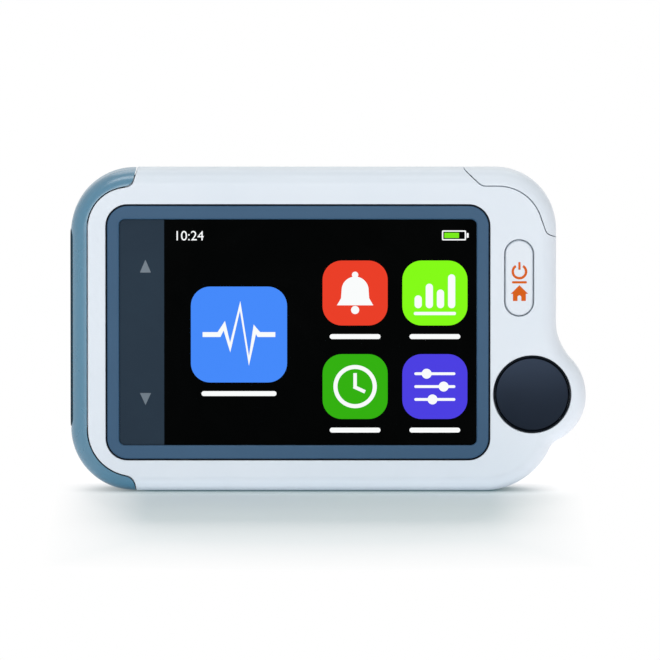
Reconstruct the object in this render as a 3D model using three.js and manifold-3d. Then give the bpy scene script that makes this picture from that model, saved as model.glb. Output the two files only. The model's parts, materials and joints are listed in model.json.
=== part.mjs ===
// Handheld ECG and health monitor with a thumb electrode in a lobe of its housing.
// Millimetres, +Z up. It stands on its bottom edge, and the display looks along -Y.
// X runs from the grip end to the end with the thumb lobe. The origin is below the middle
// of the whole outline, at mid thickness.

import * as THREE from 'three';
import { mergeVertices } from 'three/addons/utils/BufferGeometryUtils.js';
import Module from 'manifold-3d';

const wasm = await Module();
wasm.setup();

// Housing outline
const bodyWidth = 82.7;
const bodyHeight = 55;
const bodyDepth = 13;
const topLeftRadius = 10.9;
const bottomLeftRadius = 11.6;
const topRightRadius = 10.4;
const bottomRightRadius = 12.3;
const lobeRadius = 9.2;
const lobeRise = 16.68;
const lobeOutset = 5.1;
const lobeUpperFillet = 2.2;
const lobeLowerFillet = 1.2;

// Rounded front and back edges, walls and the joint between the two covers
const frontEdgeInset = 2.8;
const frontEdgeDepth = 3.5;
const backEdgeInset = 3.2;
const backEdgeDepth = 4;
const sharpestEdge = 0.4;
const faceWall = 1.5;
const sideWall = 1.6;
const underWall = 1.1;
const partingFromBack = 5.9;
const coverSeam = 0.16;
const lipGap = 0.2;
const lipThickness = 0.7;
const lipHeight = 1.1;
const lipRoot = 1.2;

// Grip band and corner cover, which wrap the edge from front to back
const skinThickness = 1.2;
const skinSeam = 0.25;
const skinInset = 2.65;
const gripTopReach = 11.1;
const gripBottomReach = 10.9;
const gripEndSlant = 1;
const gripEndRadius = 1;
const capStartReach = 15.9;
const capRampRun = 3.3;
const capRampRadius = 1.8;
const capLegDrop = 7.3;
const capEndInset = 1.58;
const capEndDrop = 10.86;
const capEndSlope = 0.4;
const capEndRadius = 1.5;

// Display: bezel, touch panel and the stack behind it
const bezelFromLeft = 6.14;
const bezelFromRight = 11.54;
const bezelRise = 5.67;
const bezelDrop = 6.11;
const bezelRadius = 3.45;
const bezelSideBorder = 2.05;
const bezelEndBorder = 2.3;
const bezelInnerRadius = 1;
const bezelThickness = 1.4;
const bezelChamfer = 0.22;
const bezelSeam = 0.3;
const ledgeWidth = 1.2;
const ledgeThickness = 0.9;
const rimWall = 1.4;
const touchStripWidth = 7.76;
const panelRecess = 0.3;
const panelThickness = 0.9;
const panelSeam = 0.15;
const lcdSetback = 0.1;
const lcdThickness = 1.3;
const lcdSideGap = 0.3;
const trayThickness = 1.6;
const trayOverlap = 0.8;
const trayWall = 0.4;
const flexWidth = 12;
const flexThickness = 0.2;

// Chassis, circuit board and its parts
const chassisThickness = 0.9;
const chassisMargin = 1.1;
const chassisRail = 12.5;
const chassisSpoke = 5;
const chassisWindowCount = 3;
const boardGap = 0.5;
const boardThickness = 0.8;
const boardMargin = 1.2;
const canWidth = 13;
const canHeight = 2;
const canWall = 0.3;
const canFromRight = 22.4;
const canShare = 0.21;
const processorWidth = 9;
const processorHeight = 1.1;
const analogueWidth = 6;
const analogueFromRight = 5.9;
const analogueShare = 0.102;
const flashWidth = 5;
const flashFromRight = 32.1;
const flashDrop = 8.5;
const chipHeight = 0.9;

// Home key and its switch
const keyWidth = 4.7;
const keyHeight = 12.83;
const keyFromRight = 6.35;
const keyShare = 0.42;
const keySeam = 0.25;
const keyChamfer = 0.3;
const keyCollarWall = 0.8;
const keyCollarDepth = 0.8;
const keyFlange = 0.7;
const keyFlangeThickness = 0.6;
const keyTravel = 0.3;
const keyPostRadius = 1;
const plungerGap = 0.05;
const plungerRadius = 0.75;
const plungerProud = 0.35;
const plungerLength = 0.85;
const plungerFit = 0.12;
const switchWidth = 4.2;
const switchHeight = 1.5;

// Electrodes and their contacts
const thumbRingRadius = 6.575;
const thumbRingWidth = 0.42;
const thumbSeam = 0.15;
const thumbDiscThickness = 1.1;
const thumbDome = 0.3;
const thumbRingSetback = 0.12;
const thumbFloor = 0.9;
const thumbStemRadius = 1.5;
const thumbStemHole = 1.8;
const thumbStemLength = 1.5;
const sideElectrodeProud = 0.2;
const sideElectrodeRise = 12.1;
const sideElectrodeDrop = 10.1;
const sideElectrodeWidth = 7.4;
const sideElectrodeForward = 0.6;
const sideElectrodeBevel = 0.3;
const sideElectrodeSeam = 0.2;
const sideStemRadius = 0.8;
const sideStemHole = 1.05;
const sideStemBack = 1.15;
const sideStemReach = 4.2;
const backPlateRadius = 5.2;
const backPlateLength = 15.4;
const backPlateThickness = 0.9;
const backPlateSetback = 0.05;
const backPlateSeam = 0.2;
const backPlateBevel = 0.3;
const backStemRadius = 1.2;
const backStemHole = 1.5;
const backStemLength = 1.2;
const contactThickness = 0.25;
const contactWidth = 2.2;
const contactReach = 3.2;
const contactGap = 0.2;

// Finger cradle of the oximeter, on the back
const cradleFromRight = 7.5;
const cradleShare = 0.465;
const cradleDip = 1.4;
const cradleHalfWidth = 6.5;
const cradleHeightShare = 0.3;
const cradleHalfDepth = 3;
const cradleWall = 1.3;
const windowRadius = 2.8;
const windowSeam = 0.2;
const windowThickness = 1.3;
const windowFlange = 0.9;
const windowFlangeThickness = 0.6;
const sensorWidth = 5.6;
const sensorGap = 0.2;

// Battery, speaker and data socket
const batteryThickness = 3.2;
const batteryFromLeft = 8.8;
const batteryFromRight = 34.9;
const batteryRise = 14;
const batteryDrop = 11;
const batteryCorner = 1.5;
const padThickness = 0.6;
const padInset = 4;
const bayGap = 0.5;
const bayRib = 0.8;
const bayRibDepth = 2.4;
const speakerRadius = 5.5;
const speakerThickness = 2;
const speakerFromRight = 24.4;
const speakerRise = 12.6;
const speakerRingGap = 0.3;
const speakerRingWall = 0.8;
const speakerRingDepth = 1.6;
const meshThickness = 0.4;
const grilleHoleRadius = 0.55;
const grillePitch = 1.9;
const grilleRows = 3;
const grilleColumns = 5;
const socketWidth = 9;
const socketHeight = 3.2;
const socketLength = 7;
const socketSetback = 0.6;
const socketWall = 0.3;
const socketFloor = 0.8;
const socketSeam = 0.2;
const tongueWidth = 6.4;
const tongueThickness = 0.7;
const tongueSetback = 1;

// Screws and the bosses that hold them
const bossRadius = 2.1;
const bossInset = 1.15;
const bossNotchGap = 0.4;
const bossGap = 0.3;
const screwHeadRadius = 1.75;
const screwHeadThickness = 1.2;
const screwSetback = 0.4;
const screwSeatGap = 0.25;
const screwShankRadius = 0.8;
const screwHoleRadius = 1;
const screwGrip = 7.2;
const screwTipGap = 0.6;
const boardScrewHead = 1.4;
const boardScrewHeadThickness = 0.7;
const boardScrewShank = 0.65;
const boardScrewHole = 0.85;
const boardScrewTip = 0.8;
const boardScrewFromEnd = 11.5;
const boardScrewFromTop = 2.2;
const standoffRadius = 1.8;

// Facets and cutting allowance
const facetError = 0.06;
const edgeSteps = 4;
const roundSides = 32;
const smallSides = 12;
const holeSides = 8;
const bevelSteps = 2;
const overrun = 2;

// Places that follow from the sizes above
const overallWidth = sideElectrodeProud + bodyWidth + lobeOutset;
const leftX = sideElectrodeProud - overallWidth / 2;
const rightX = leftX + bodyWidth;
const lobeX = rightX + lobeOutset - lobeRadius;
const frontY = -bodyDepth / 2;
const backY = bodyDepth / 2;
const partingY = backY - partingFromBack;
const innerFrontY = frontY + faceWall;
const innerBackY = backY - faceWall;
const rebateDepth = skinThickness + skinSeam;
const bezelLeft = leftX + bezelFromLeft;
const bezelRight = rightX - bezelFromRight;
const bezelTop = bodyHeight - bezelDrop;
const ledgeY = frontY + bezelThickness;
const panelFrontY = frontY + panelRecess;
const panelBackY = panelFrontY + panelThickness;
const lcdFrontY = panelBackY + lcdSetback;
const lcdBackY = lcdFrontY + lcdThickness;
const chassisFrontY = lcdBackY + trayThickness;
const chassisBackY = chassisFrontY + chassisThickness;
const boardFrontY = chassisBackY + boardGap;
const boardBackY = boardFrontY + boardThickness;
const chassisLeft = bezelLeft + chassisMargin;
const chassisRight = bezelRight - chassisMargin;
const chassisLow = bezelRise + chassisMargin;
const chassisHigh = bezelTop - chassisMargin;
const thumbTop = lobeRise + thumbRingRadius;
const aboveThumb = bodyHeight - thumbTop;
const canX = rightX - canFromRight;
const canZ = thumbTop + aboveThumb * canShare;
const analogueX = rightX - analogueFromRight;
const analogueZ = thumbTop + aboveThumb * analogueShare;
const flashX = rightX - flashFromRight;
const flashZ = bodyHeight - flashDrop;
const keyX = rightX - keyFromRight;
const keyZ = thumbTop + aboveThumb * keyShare;
const sideElectrodeLength = bodyHeight - sideElectrodeRise - sideElectrodeDrop;
const sideElectrodeZ = sideElectrodeRise + sideElectrodeLength / 2;
const cradleX = rightX - cradleFromRight;
const cradleZ = thumbTop + aboveThumb * cradleShare;
const cradleHalfHeight = aboveThumb * cradleHeightShare;
const batteryWidth = bodyWidth - batteryFromLeft - batteryFromRight;
const batteryX = leftX + batteryFromLeft + batteryWidth / 2;
const batteryHeight = bodyHeight - batteryRise - batteryDrop;
const batteryZ = batteryRise + batteryHeight / 2;
const speakerX = rightX - speakerFromRight;
const backPlateRight = lobeX + backPlateRadius;
const backPlateLeft = backPlateRight - backPlateLength;
const thumbFloorY = frontY + thumbDiscThickness;
const cupBackY = thumbFloorY + thumbFloor;
const socketX = leftX + bodyWidth / 2;
const backStemX = backPlateLeft + backPlateRadius;
const processorBackY = boardBackY + processorHeight;
const chipBackY = boardBackY + chipHeight;
const keyFlangeY = innerFrontY + keyCollarDepth + keySeam;
const switchFrontY = boardFrontY - switchHeight;
const plungerFrontY = switchFrontY - plungerProud;
const cradleFloorY = backY - cradleDip;
const headBackY = backY - screwSetback;
const boardScrewGrip = boardThickness + boardGap + boardScrewTip;

// Points of one arc in the front view, where a falling angle runs clockwise
function arcPoints(centre, radius, from, to) {
  const halfStep = Math.acos(1 - Math.min(facetError / radius, 1));
  const steps = Math.max(2, Math.ceil(Math.abs(to - from) / (halfStep + halfStep)));
  const points = [];
  for (let step = 0; step <= steps; step += 1) {
    const angle = from + ((to - from) * step) / steps;
    points.push(new THREE.Vector2(centre.x + radius * Math.cos(angle), centre.y + radius * Math.sin(angle)));
  }
  return points;
}

// Outline of the housing in the front view, drawn in by an inset all round: a rounded
// rectangle with a round lobe, and hollow fillets where the lobe joins
const bottomRight = new THREE.Vector2(rightX - bottomRightRadius, bottomRightRadius);
const topRight = new THREE.Vector2(rightX - topRightRadius, bodyHeight - topRightRadius);
const topLeft = new THREE.Vector2(leftX + topLeftRadius, bodyHeight - topLeftRadius);
const bottomLeft = new THREE.Vector2(leftX + bottomLeftRadius, bottomLeftRadius);
function bodyOutline(inset) {
  const lobe = new THREE.Vector2(lobeX, lobeRise);
  const cornerReach = bottomRightRadius + lobeLowerFillet;
  const lobeReach = lobeRadius + lobeLowerFillet;
  const link = lobe.clone().sub(bottomRight);
  const span = link.length();
  const along = (cornerReach ** 2 - lobeReach ** 2 + span ** 2) / (span + span);
  const across = Math.sqrt(cornerReach ** 2 - along ** 2);
  const unit = link.divideScalar(span);
  const lower = bottomRight.clone().addScaledVector(unit, along);
  lower.addScaledVector(new THREE.Vector2(unit.y, -unit.x), across);

  const upperX = rightX + lobeUpperFillet;
  const upperRise = Math.sqrt((lobeRadius + lobeUpperFillet) ** 2 - (upperX - lobeX) ** 2);
  const upper = new THREE.Vector2(upperX, lobeRise + upperRise);

  const quarter = Math.PI / 2;
  const half = Math.PI;
  const cornerEnd = lower.clone().sub(bottomRight).angle() - half - half;
  const lobeStart = lower.clone().sub(lobe).angle() - half - half;
  const lobeEnd = upper.clone().sub(lobe).angle();
  return [
    ...arcPoints(bottomRight, bottomRightRadius - inset, -quarter, cornerEnd),
    ...arcPoints(lower, lobeLowerFillet + inset, cornerEnd + half, lobeStart + half).slice(1),
    ...arcPoints(lobe, lobeRadius - inset, lobeStart, 0).slice(1),
    ...arcPoints(lobe, lobeRadius - inset, 0, lobeEnd).slice(1),
    ...arcPoints(upper, lobeUpperFillet + inset, lobeEnd + half, half).slice(1),
    ...arcPoints(topRight, topRightRadius - inset, 0, quarter),
    ...arcPoints(topLeft, topLeftRadius - inset, quarter, half),
    ...arcPoints(bottomLeft, bottomLeftRadius - inset, half, half + quarter),
  ];
}

// Outline through corner points [x, z, radius], each corner rounded by its own radius
function roundedOutline(corners) {
  const points = [];
  corners.forEach(([x, z, radius], index) => {
    const corner = new THREE.Vector2(x, z);
    if (radius === 0) {
      points.push(corner);
      return;
    }
    const before = new THREE.Vector2(...corners.at(index - 1)).sub(corner).normalize();
    const after = new THREE.Vector2(...corners[(index + 1) % corners.length]).sub(corner).normalize();
    const halfAngle = Math.acos(before.dot(after)) / 2;
    const middle = before.clone().add(after).normalize();
    const centre = corner.clone().addScaledVector(middle, radius / Math.sin(halfAngle));
    const sweep = Math.PI - halfAngle - halfAngle;
    const start = corner.clone().addScaledVector(before, radius / Math.tan(halfAngle)).sub(centre).angle();
    const turn = Math.sign(after.cross(before));
    points.push(...arcPoints(centre, radius, start, start + turn * sweep));
  });
  return points;
}

// Rounded rectangle between two corners
function roundedBox(xMin, xMax, zMin, zMax, radius) {
  return roundedOutline([
    [xMin, zMin, radius],
    [xMax, zMin, radius],
    [xMax, zMax, radius],
    [xMin, zMax, radius],
  ]);
}

// Turns a closed three.js geometry into a solid that can be joined and cut
function solid(geometry) {
  const bare = geometry.clone();
  bare.deleteAttribute('normal');
  bare.deleteAttribute('uv');
  const merged = mergeVertices(bare);
  const corners = merged.index.array;
  const triangles = [];
  for (let first = 0; first < corners.length; first += 3) {
    const [a, b, c] = [corners[first], corners[first + 1], corners[first + 2]];
    if (a !== b && b !== c && c !== a) triangles.push(a, b, c);
  }
  return new wasm.Manifold(new wasm.Mesh({
    numProp: 3,
    vertProperties: new Float32Array(merged.attributes.position.array),
    triVerts: new Uint32Array(triangles),
  }));
}

// Extrudes a front-view outline between two depths
function prism(points, yFront, yBack) {
  const geometry = new THREE.ExtrudeGeometry(new THREE.Shape(points), {
    depth: yBack - yFront,
    bevelEnabled: false,
  });
  geometry.rotateX(Math.PI / 2);
  geometry.translate(0, yBack, 0);
  return solid(geometry);
}

// Extrudes a front-view outline with its front and back edges rounded
function softPrism(points, yFront, yBack, edgeInset, edgeDepth, steps) {
  const geometry = new THREE.ExtrudeGeometry(new THREE.Shape(points), {
    depth: yBack - yFront - edgeDepth - edgeDepth,
    bevelSize: edgeInset,
    bevelOffset: -edgeInset,
    bevelThickness: edgeDepth,
    bevelSegments: steps,
  });
  geometry.rotateX(Math.PI / 2);
  geometry.translate(0, yBack - edgeDepth, 0);
  return solid(geometry);
}

// Extrudes an outline of [x, -y] points along Z
function upright(points, zMin, zMax) {
  const geometry = new THREE.ExtrudeGeometry(new THREE.Shape(points), {
    depth: zMax - zMin,
    bevelEnabled: false,
  });
  geometry.scale(1, -1, -1);
  geometry.translate(0, 0, zMax);
  return solid(geometry);
}

// Box between two corners
function block(xMin, xMax, yFront, yBack, zMin, zMax) {
  const geometry = new THREE.BoxGeometry(xMax - xMin, yBack - yFront, zMax - zMin);
  geometry.translate((xMin + xMax) / 2, (yFront + yBack) / 2, (zMin + zMax) / 2);
  return solid(geometry);
}

// Square slab on the circuit board, round its middle
function squareBlock(x, z, width, yFront, yBack) {
  return block(x - width / 2, x + width / 2, yFront, yBack, z - width / 2, z + width / 2);
}

// Round column along the depth
function column(x, z, radius, yFront, yBack, sides = roundSides) {
  const geometry = new THREE.CylinderGeometry(radius, radius, yBack - yFront, sides);
  geometry.translate(x, (yFront + yBack) / 2, z);
  return solid(geometry);
}

// Solid of revolution about an axis along the depth, from [radius, y] points
function turned(x, z, profile, sides = roundSides) {
  const points = profile.map(([radius, y]) => new THREE.Vector2(radius, y));
  const geometry = new THREE.LatheGeometry(points, sides);
  geometry.translate(x, 0, z);
  return solid(geometry);
}

// Slice of all space between two depths
function slab(yFront, yBack) {
  const side = overallWidth / 2 + overrun;
  return block(-side, side, yFront, yBack, -overrun, bodyHeight + overrun);
}

function join(solids) {
  return solids.reduce((whole, piece) => whole.add(piece));
}

// Outer form of the housing, drawn in by an inset on every side
function outerForm(inset) {
  const points = bodyOutline(inset);
  const farBack = backY + overrun + frontEdgeDepth;
  const farFront = frontY - overrun - backEdgeDepth;
  const frontSize = Math.max(frontEdgeInset - inset, sharpestEdge);
  const frontDepth = Math.max(frontEdgeDepth - inset, sharpestEdge);
  const backSize = Math.max(backEdgeInset - inset, sharpestEdge);
  const backDepth = Math.max(backEdgeDepth - inset, sharpestEdge);
  const front = softPrism(points, frontY + inset, farBack, frontSize, frontDepth, edgeSteps);
  const back = softPrism(points, farFront, backY - inset, backSize, backDepth, edgeSteps);
  return front.intersect(back);
}

// Corners along the seam of a skin piece, on an arc that stops at a rounded end
function seamCorners(centre, radius, from, to, startRadius, stopRadius) {
  const corners = arcPoints(centre, radius, from, to).map((point) => [point.x, point.y, 0]);
  corners[0][2] = startRadius;
  corners.at(-1)[2] = stopRadius;
  return corners;
}

// Area of the grip band in the front view, grown by a clearance
function gripArea(clearance) {
  const seam = skinInset + clearance;
  const topEnd = leftX + gripTopReach + clearance;
  const bottomEnd = leftX + gripBottomReach + clearance;
  const outside = overrun + clearance;
  const bottomAngle = Math.acos((bottomEnd - gripEndSlant - bottomLeft.x) / (bottomLeftRadius - seam));
  const topAngle = Math.acos((topEnd - gripEndSlant - topLeft.x) / (topLeftRadius - seam));
  return prism(roundedOutline([
    [topEnd, bodyHeight + outside, 0],
    [leftX - outside, bodyHeight + outside, 0],
    [leftX - outside, -outside, 0],
    [bottomEnd, -outside, 0],
    ...seamCorners(bottomLeft, bottomLeftRadius - seam, -bottomAngle, -Math.PI, gripEndRadius, 0),
    ...seamCorners(topLeft, topLeftRadius - seam, Math.PI, topAngle, 0, gripEndRadius),
  ]), frontY - overrun, backY + overrun);
}

// Corner between two sides of an outline, moved out by a clearance from both sides
function grownCorner(before, corner, after, clearance) {
  const back = before.clone().sub(corner).normalize();
  const onward = after.clone().sub(corner).normalize();
  const halfAngle = Math.acos(back.dot(onward)) / 2;
  const middle = back.add(onward).normalize();
  return corner.clone().addScaledVector(middle, -clearance / Math.sin(halfAngle));
}

// Area of the corner cover in the front view, grown by a clearance. Its seam leaves the
// corner's arc at the leg, and turns out to the side at the foot of the leg.
function capArea(clearance) {
  const seam = skinInset + clearance;
  const start = rightX - capStartReach - clearance;
  const outside = overrun + clearance;
  const legAngle = Math.asin((bodyHeight - capLegDrop - topRight.y) / (topRightRadius - skinInset));
  const along = new THREE.Vector2(Math.cos(legAngle), Math.sin(legAngle));
  const leg = topRight.clone().addScaledVector(along, topRightRadius - skinInset);
  const foot = new THREE.Vector2(rightX - capEndInset, bodyHeight - capEndDrop);
  const side = new THREE.Vector2(rightX, foot.y - capEndSlope * capEndInset);
  const grown = grownCorner(leg, foot, side, clearance);
  const endX = rightX + outside;
  return prism(roundedOutline([
    [endX, bodyHeight + outside, 0],
    [start - outside, bodyHeight + outside, 0],
    [start + capRampRun, bodyHeight - seam, capRampRadius],
    ...seamCorners(topRight, topRightRadius - seam, Math.PI / 2, legAngle, 0, capEndRadius),
    [grown.x, grown.y, capEndRadius],
    [endX, grown.y - capEndSlope * (endX - grown.x), 0],
  ]), frontY - overrun, backY + overrun);
}

// Hollow inside the two covers. Under the band and the corner cover it keeps further in.
function hollow(extra) {
  const hidden = outerForm(rebateDepth + underWall + extra);
  const middle = prism(bodyOutline(skinInset + skinSeam + underWall + extra), innerFrontY, innerBackY);
  const wide = prism(bodyOutline(sideWall + extra), innerFrontY, innerBackY)
    .subtract(gripArea(skinSeam + underWall + extra))
    .subtract(capArea(skinSeam + underWall + extra));
  return hidden.add(middle).add(wide);
}

// Centres of the four housing screws, behind the corners of the bezel
function bossPlaces() {
  const places = [];
  for (const x of [bezelLeft + bossInset, bezelRight - bossInset]) {
    for (const z of [bezelRise + bossInset, bezelTop - bossInset]) places.push([x, z]);
  }
  return places;
}

function bezelOpening(grow) {
  return roundedBox(
    bezelLeft + bezelSideBorder - grow,
    bezelRight - bezelSideBorder + grow,
    bezelRise + bezelEndBorder - grow,
    bezelTop - bezelEndBorder + grow,
    Math.max(bezelInnerRadius + grow, sharpestEdge),
  );
}

function bezelOutline(grow) {
  const radius = bezelRadius + grow;
  return roundedBox(bezelLeft - grow, bezelRight + grow, bezelRise - grow, bezelTop + grow, radius);
}

function keyOutline(grow) {
  const halfWidth = keyWidth / 2 + grow;
  const halfHeight = keyHeight / 2 + grow;
  return roundedBox(keyX - halfWidth, keyX + halfWidth, keyZ - halfHeight, keyZ + halfHeight, halfWidth);
}

function backPlateOutline(grow) {
  const radius = backPlateRadius + grow;
  const [low, high] = [lobeRise - radius, lobeRise + radius];
  return roundedBox(backPlateLeft - grow, backPlateRight + grow, low, high, radius);
}

// Stadium of the data socket, seen from below, extruded along Z
function socketBlock(grow, zMin, zMax) {
  const halfWidth = socketWidth / 2 + grow;
  const radius = socketHeight / 2 + grow;
  const middleY = boardBackY + socketHeight / 2;
  const [left, right] = [socketX - halfWidth, socketX + halfWidth];
  return upright(roundedBox(left, right, -middleY - radius, radius - middleY, radius), zMin, zMax);
}

// Column along the length, for the stem of the side electrode
function sideColumn(radius, xMin, xMax) {
  const geometry = new THREE.CylinderGeometry(radius, radius, xMax - xMin, smallSides);
  geometry.rotateZ(Math.PI / 2);
  geometry.translate((xMin + xMax) / 2, sideStemBack, sideElectrodeZ);
  return solid(geometry);
}

const blank = outerForm(0);
const lining = outerForm(rebateDepth);
const cavity = hollow(0);
const rebates = gripArea(skinSeam).add(capArea(skinSeam)).subtract(lining);
const shell = blank.subtract(rebates).subtract(cavity);
const socketOpening = socketBlock(socketSeam, -overrun, socketSetback + socketLength + socketSeam);
const sideStemOpening = sideColumn(sideStemHole, leftX - overrun, leftX + sideStemReach + overrun);

// Front cover: the moulded shell with its display rim, electrode cup, key collar, bosses and lip
function frontCover() {
  const rim = prism(bezelOutline(rimWall), innerFrontY - overrun, ledgeY + ledgeThickness);
  const cup = column(lobeX, lobeRise, lobeRadius, innerFrontY - overrun, cupBackY);
  const collarY = innerFrontY + keyCollarDepth;
  const collar = prism(keyOutline(keySeam + keyCollarWall), innerFrontY - overrun, collarY);
  const lipRing = hollow(lipGap).subtract(hollow(lipGap + lipThickness))
    .intersect(slab(partingY - lipRoot, partingY + lipHeight));
  const rootRing = hollow(-lipGap).subtract(hollow(lipGap + lipThickness))
    .intersect(slab(partingY - lipRoot, partingY - coverSeam));
  const lipNotches = bossPlaces().map(([x, z]) => (
    column(x, z, bossRadius + bossNotchGap, partingY, innerBackY, smallSides)));
  const bosses = bossPlaces().map(([x, z]) => (
    column(x, z, bossRadius, ledgeY, partingY - bossGap, smallSides)));
  const inside = join([rim, cup, collar, ...bosses]).intersect(lining);

  const recess = prism(bezelOutline(bezelSeam), frontY - overrun, ledgeY);
  const window = prism(bezelOpening(-ledgeWidth), frontY - overrun, innerFrontY + overrun);
  const cupHole = column(lobeX, lobeRise, thumbRingRadius + thumbSeam, frontY - overrun, thumbFloorY);
  const stemHole = column(lobeX, lobeRise, thumbStemHole, frontY - overrun, cupBackY + overrun, smallSides);
  const keyHole = prism(keyOutline(keySeam), frontY - overrun, collarY + overrun);
  const screwHoles = bossPlaces().map(([x, z]) => {
    const tip = backY - screwSetback - screwHeadThickness - screwGrip - screwTipGap;
    return column(x, z, screwHoleRadius, tip, partingY, smallSides);
  });
  return shell.intersect(slab(frontY - overrun, partingY - coverSeam / 2))
    .add(inside).add(rootRing).add(lipRing.subtract(join(lipNotches)))
    .subtract(join([recess, window, cupHole, stemHole, keyHole, ...screwHoles]))
    .subtract(socketOpening)
    .subtract(sideStemOpening);
}

// Ellipsoid of the finger cradle, grown by a wall
function cradleForm(grow) {
  const geometry = new THREE.SphereGeometry(1, roundSides, roundSides / 2);
  geometry.scale(cradleHalfWidth + grow, cradleHalfDepth + grow, cradleHalfHeight + grow);
  geometry.translate(cradleX, backY + cradleHalfDepth - cradleDip, cradleZ);
  return solid(geometry);
}

// Staggered round holes over the speaker
function grilleHoles() {
  const holes = [];
  for (let row = 0; row < grilleRows; row += 1) {
    const count = grilleColumns - (row % 2);
    for (let place = 0; place < count; place += 1) {
      const x = speakerX + (place - (count - 1) / 2) * grillePitch;
      const z = speakerRise + (row - (grilleRows - 1) / 2) * grillePitch;
      holes.push(column(x, z, grilleHoleRadius, innerBackY - overrun, backY + overrun, holeSides));
    }
  }
  return holes;
}

// Ribs round the battery, as one low wall
function batteryBay() {
  const outer = batteryOutline(bayGap + bayRib);
  const inner = batteryOutline(bayGap);
  const front = innerBackY - bayRibDepth;
  return prism(outer, front, innerBackY + faceWall / 2).subtract(prism(inner, front - overrun, innerBackY));
}

function batteryOutline(grow) {
  const halfWidth = batteryWidth / 2 + grow;
  const halfHeight = batteryHeight / 2 + grow;
  const [x, z] = [batteryX, batteryZ];
  const corner = Math.max(batteryCorner + grow, sharpestEdge);
  return roundedBox(x - halfWidth, x + halfWidth, z - halfHeight, z + halfHeight, corner);
}

// Rear cover: shell with finger cradle, battery bay, speaker ring, grille and screw bosses
function rearCover() {
  const cradleBack = cradleForm(cradleWall);
  const ringOuter = column(speakerX, speakerRise, speakerRadius + speakerRingGap + speakerRingWall,
    innerBackY - speakerRingDepth, innerBackY + faceWall / 2);
  const ringInner = column(speakerX, speakerRise, speakerRadius + speakerRingGap,
    innerBackY - speakerRingDepth - overrun, innerBackY);
  const bosses = bossPlaces().map(([x, z]) => (
    column(x, z, bossRadius, partingY + bossGap, innerBackY, smallSides)));
  const inside = join([cradleBack, ringOuter.subtract(ringInner), batteryBay(), ...bosses]).intersect(lining);

  const headSeat = backY - screwSetback - screwHeadThickness;
  const screwHoles = bossPlaces().map(([x, z]) => {
    const hole = column(x, z, screwHoleRadius, partingY, backY + overrun, smallSides);
    return hole.add(column(x, z, screwHeadRadius + screwSeatGap, headSeat, backY + overrun, smallSides));
  });
  const plateFloor = backY - backPlateSetback - backPlateThickness;
  const plateRecess = prism(backPlateOutline(backPlateSeam), plateFloor, backY + overrun);
  const stemHole = column(backStemX, lobeRise, backStemHole, innerBackY - overrun, backY, smallSides);
  const windowHole = column(cradleX, cradleZ, windowRadius + windowSeam, partingY, backY + overrun);
  return shell.intersect(slab(partingY + coverSeam / 2, backY + overrun))
    .add(inside)
    .subtract(cradleForm(0))
    .subtract(join([plateRecess, stemHole, windowHole, ...screwHoles, ...grilleHoles()]))
    .subtract(socketOpening)
    .subtract(sideStemOpening);
}

// Slot in the grip band for the side electrode, and the electrode itself
function sideStrip(grow, xMin, xMax) {
  const halfLength = sideElectrodeLength / 2 + grow;
  const halfWidth = sideElectrodeWidth / 2 + grow;
  const points = roundedBox(-halfWidth, halfWidth, -halfLength, halfLength, halfWidth);
  const geometry = new THREE.ExtrudeGeometry(new THREE.Shape(points), {
    depth: xMax - xMin - sideElectrodeBevel - sideElectrodeBevel,
    bevelSize: sideElectrodeBevel,
    bevelOffset: -sideElectrodeBevel,
    bevelThickness: sideElectrodeBevel,
    bevelSegments: bevelSteps,
  });
  geometry.rotateX(Math.PI / 2);
  geometry.rotateZ(-Math.PI / 2);
  geometry.translate(xMax - sideElectrodeBevel, -sideElectrodeForward, sideElectrodeZ);
  return solid(geometry);
}

function gripBand() {
  const slot = sideStrip(sideElectrodeSeam, leftX - overrun, leftX + skinThickness + overrun);
  return blank.intersect(gripArea(0)).subtract(outerForm(skinThickness)).subtract(slot);
}

function cornerCover() {
  return blank.intersect(capArea(0)).subtract(outerForm(skinThickness));
}

function sideElectrode() {
  const backX = leftX + skinThickness + skinSeam / 2;
  const stem = sideColumn(sideStemRadius, leftX + skinThickness / 2, leftX + sideStemReach);
  return sideStrip(0, leftX - sideElectrodeProud, backX).add(stem);
}

// Bezel: a frame with chamfered edges, open in the middle for the touch panel
function displayBezel() {
  const frame = softPrism(bezelOutline(0), frontY, ledgeY, bezelChamfer, bezelChamfer, bevelSteps);
  const shape = prism(bezelOpening(0), frontY - overrun, ledgeY + overrun);
  return frame.subtract(shape);
}

function panelGasket() {
  const outer = prism(bezelOpening(-panelSeam), panelBackY, ledgeY);
  const inner = prism(bezelOpening(-ledgeWidth), panelBackY - overrun, ledgeY + overrun);
  return outer.subtract(inner);
}

// Corners of the liquid crystal cell, grown by an overlap
function lcdOutline(grow) {
  const left = bezelLeft + bezelSideBorder + touchStripWidth - grow;
  const right = bezelRight - bezelSideBorder - ledgeWidth - lcdSideGap + grow;
  const bottom = bezelRise + bezelEndBorder + ledgeWidth + lcdSideGap - grow;
  const top = bezelTop - bezelEndBorder - ledgeWidth - lcdSideGap + grow;
  return [left, right, bottom, top];
}

function lcdBlock(grow, yFront, yBack) {
  const [left, right, bottom, top] = lcdOutline(grow);
  return block(left, right, yFront, yBack, bottom, top);
}

function backlightTray() {
  const pocket = lcdBlock(trayOverlap - trayWall, lcdBackY - overrun, chassisFrontY - trayWall);
  const land = lcdBlock(-trayWall, lcdBackY, chassisFrontY - trayWall);
  return lcdBlock(trayOverlap, lcdBackY, chassisFrontY).subtract(pocket.subtract(land));
}

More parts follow.
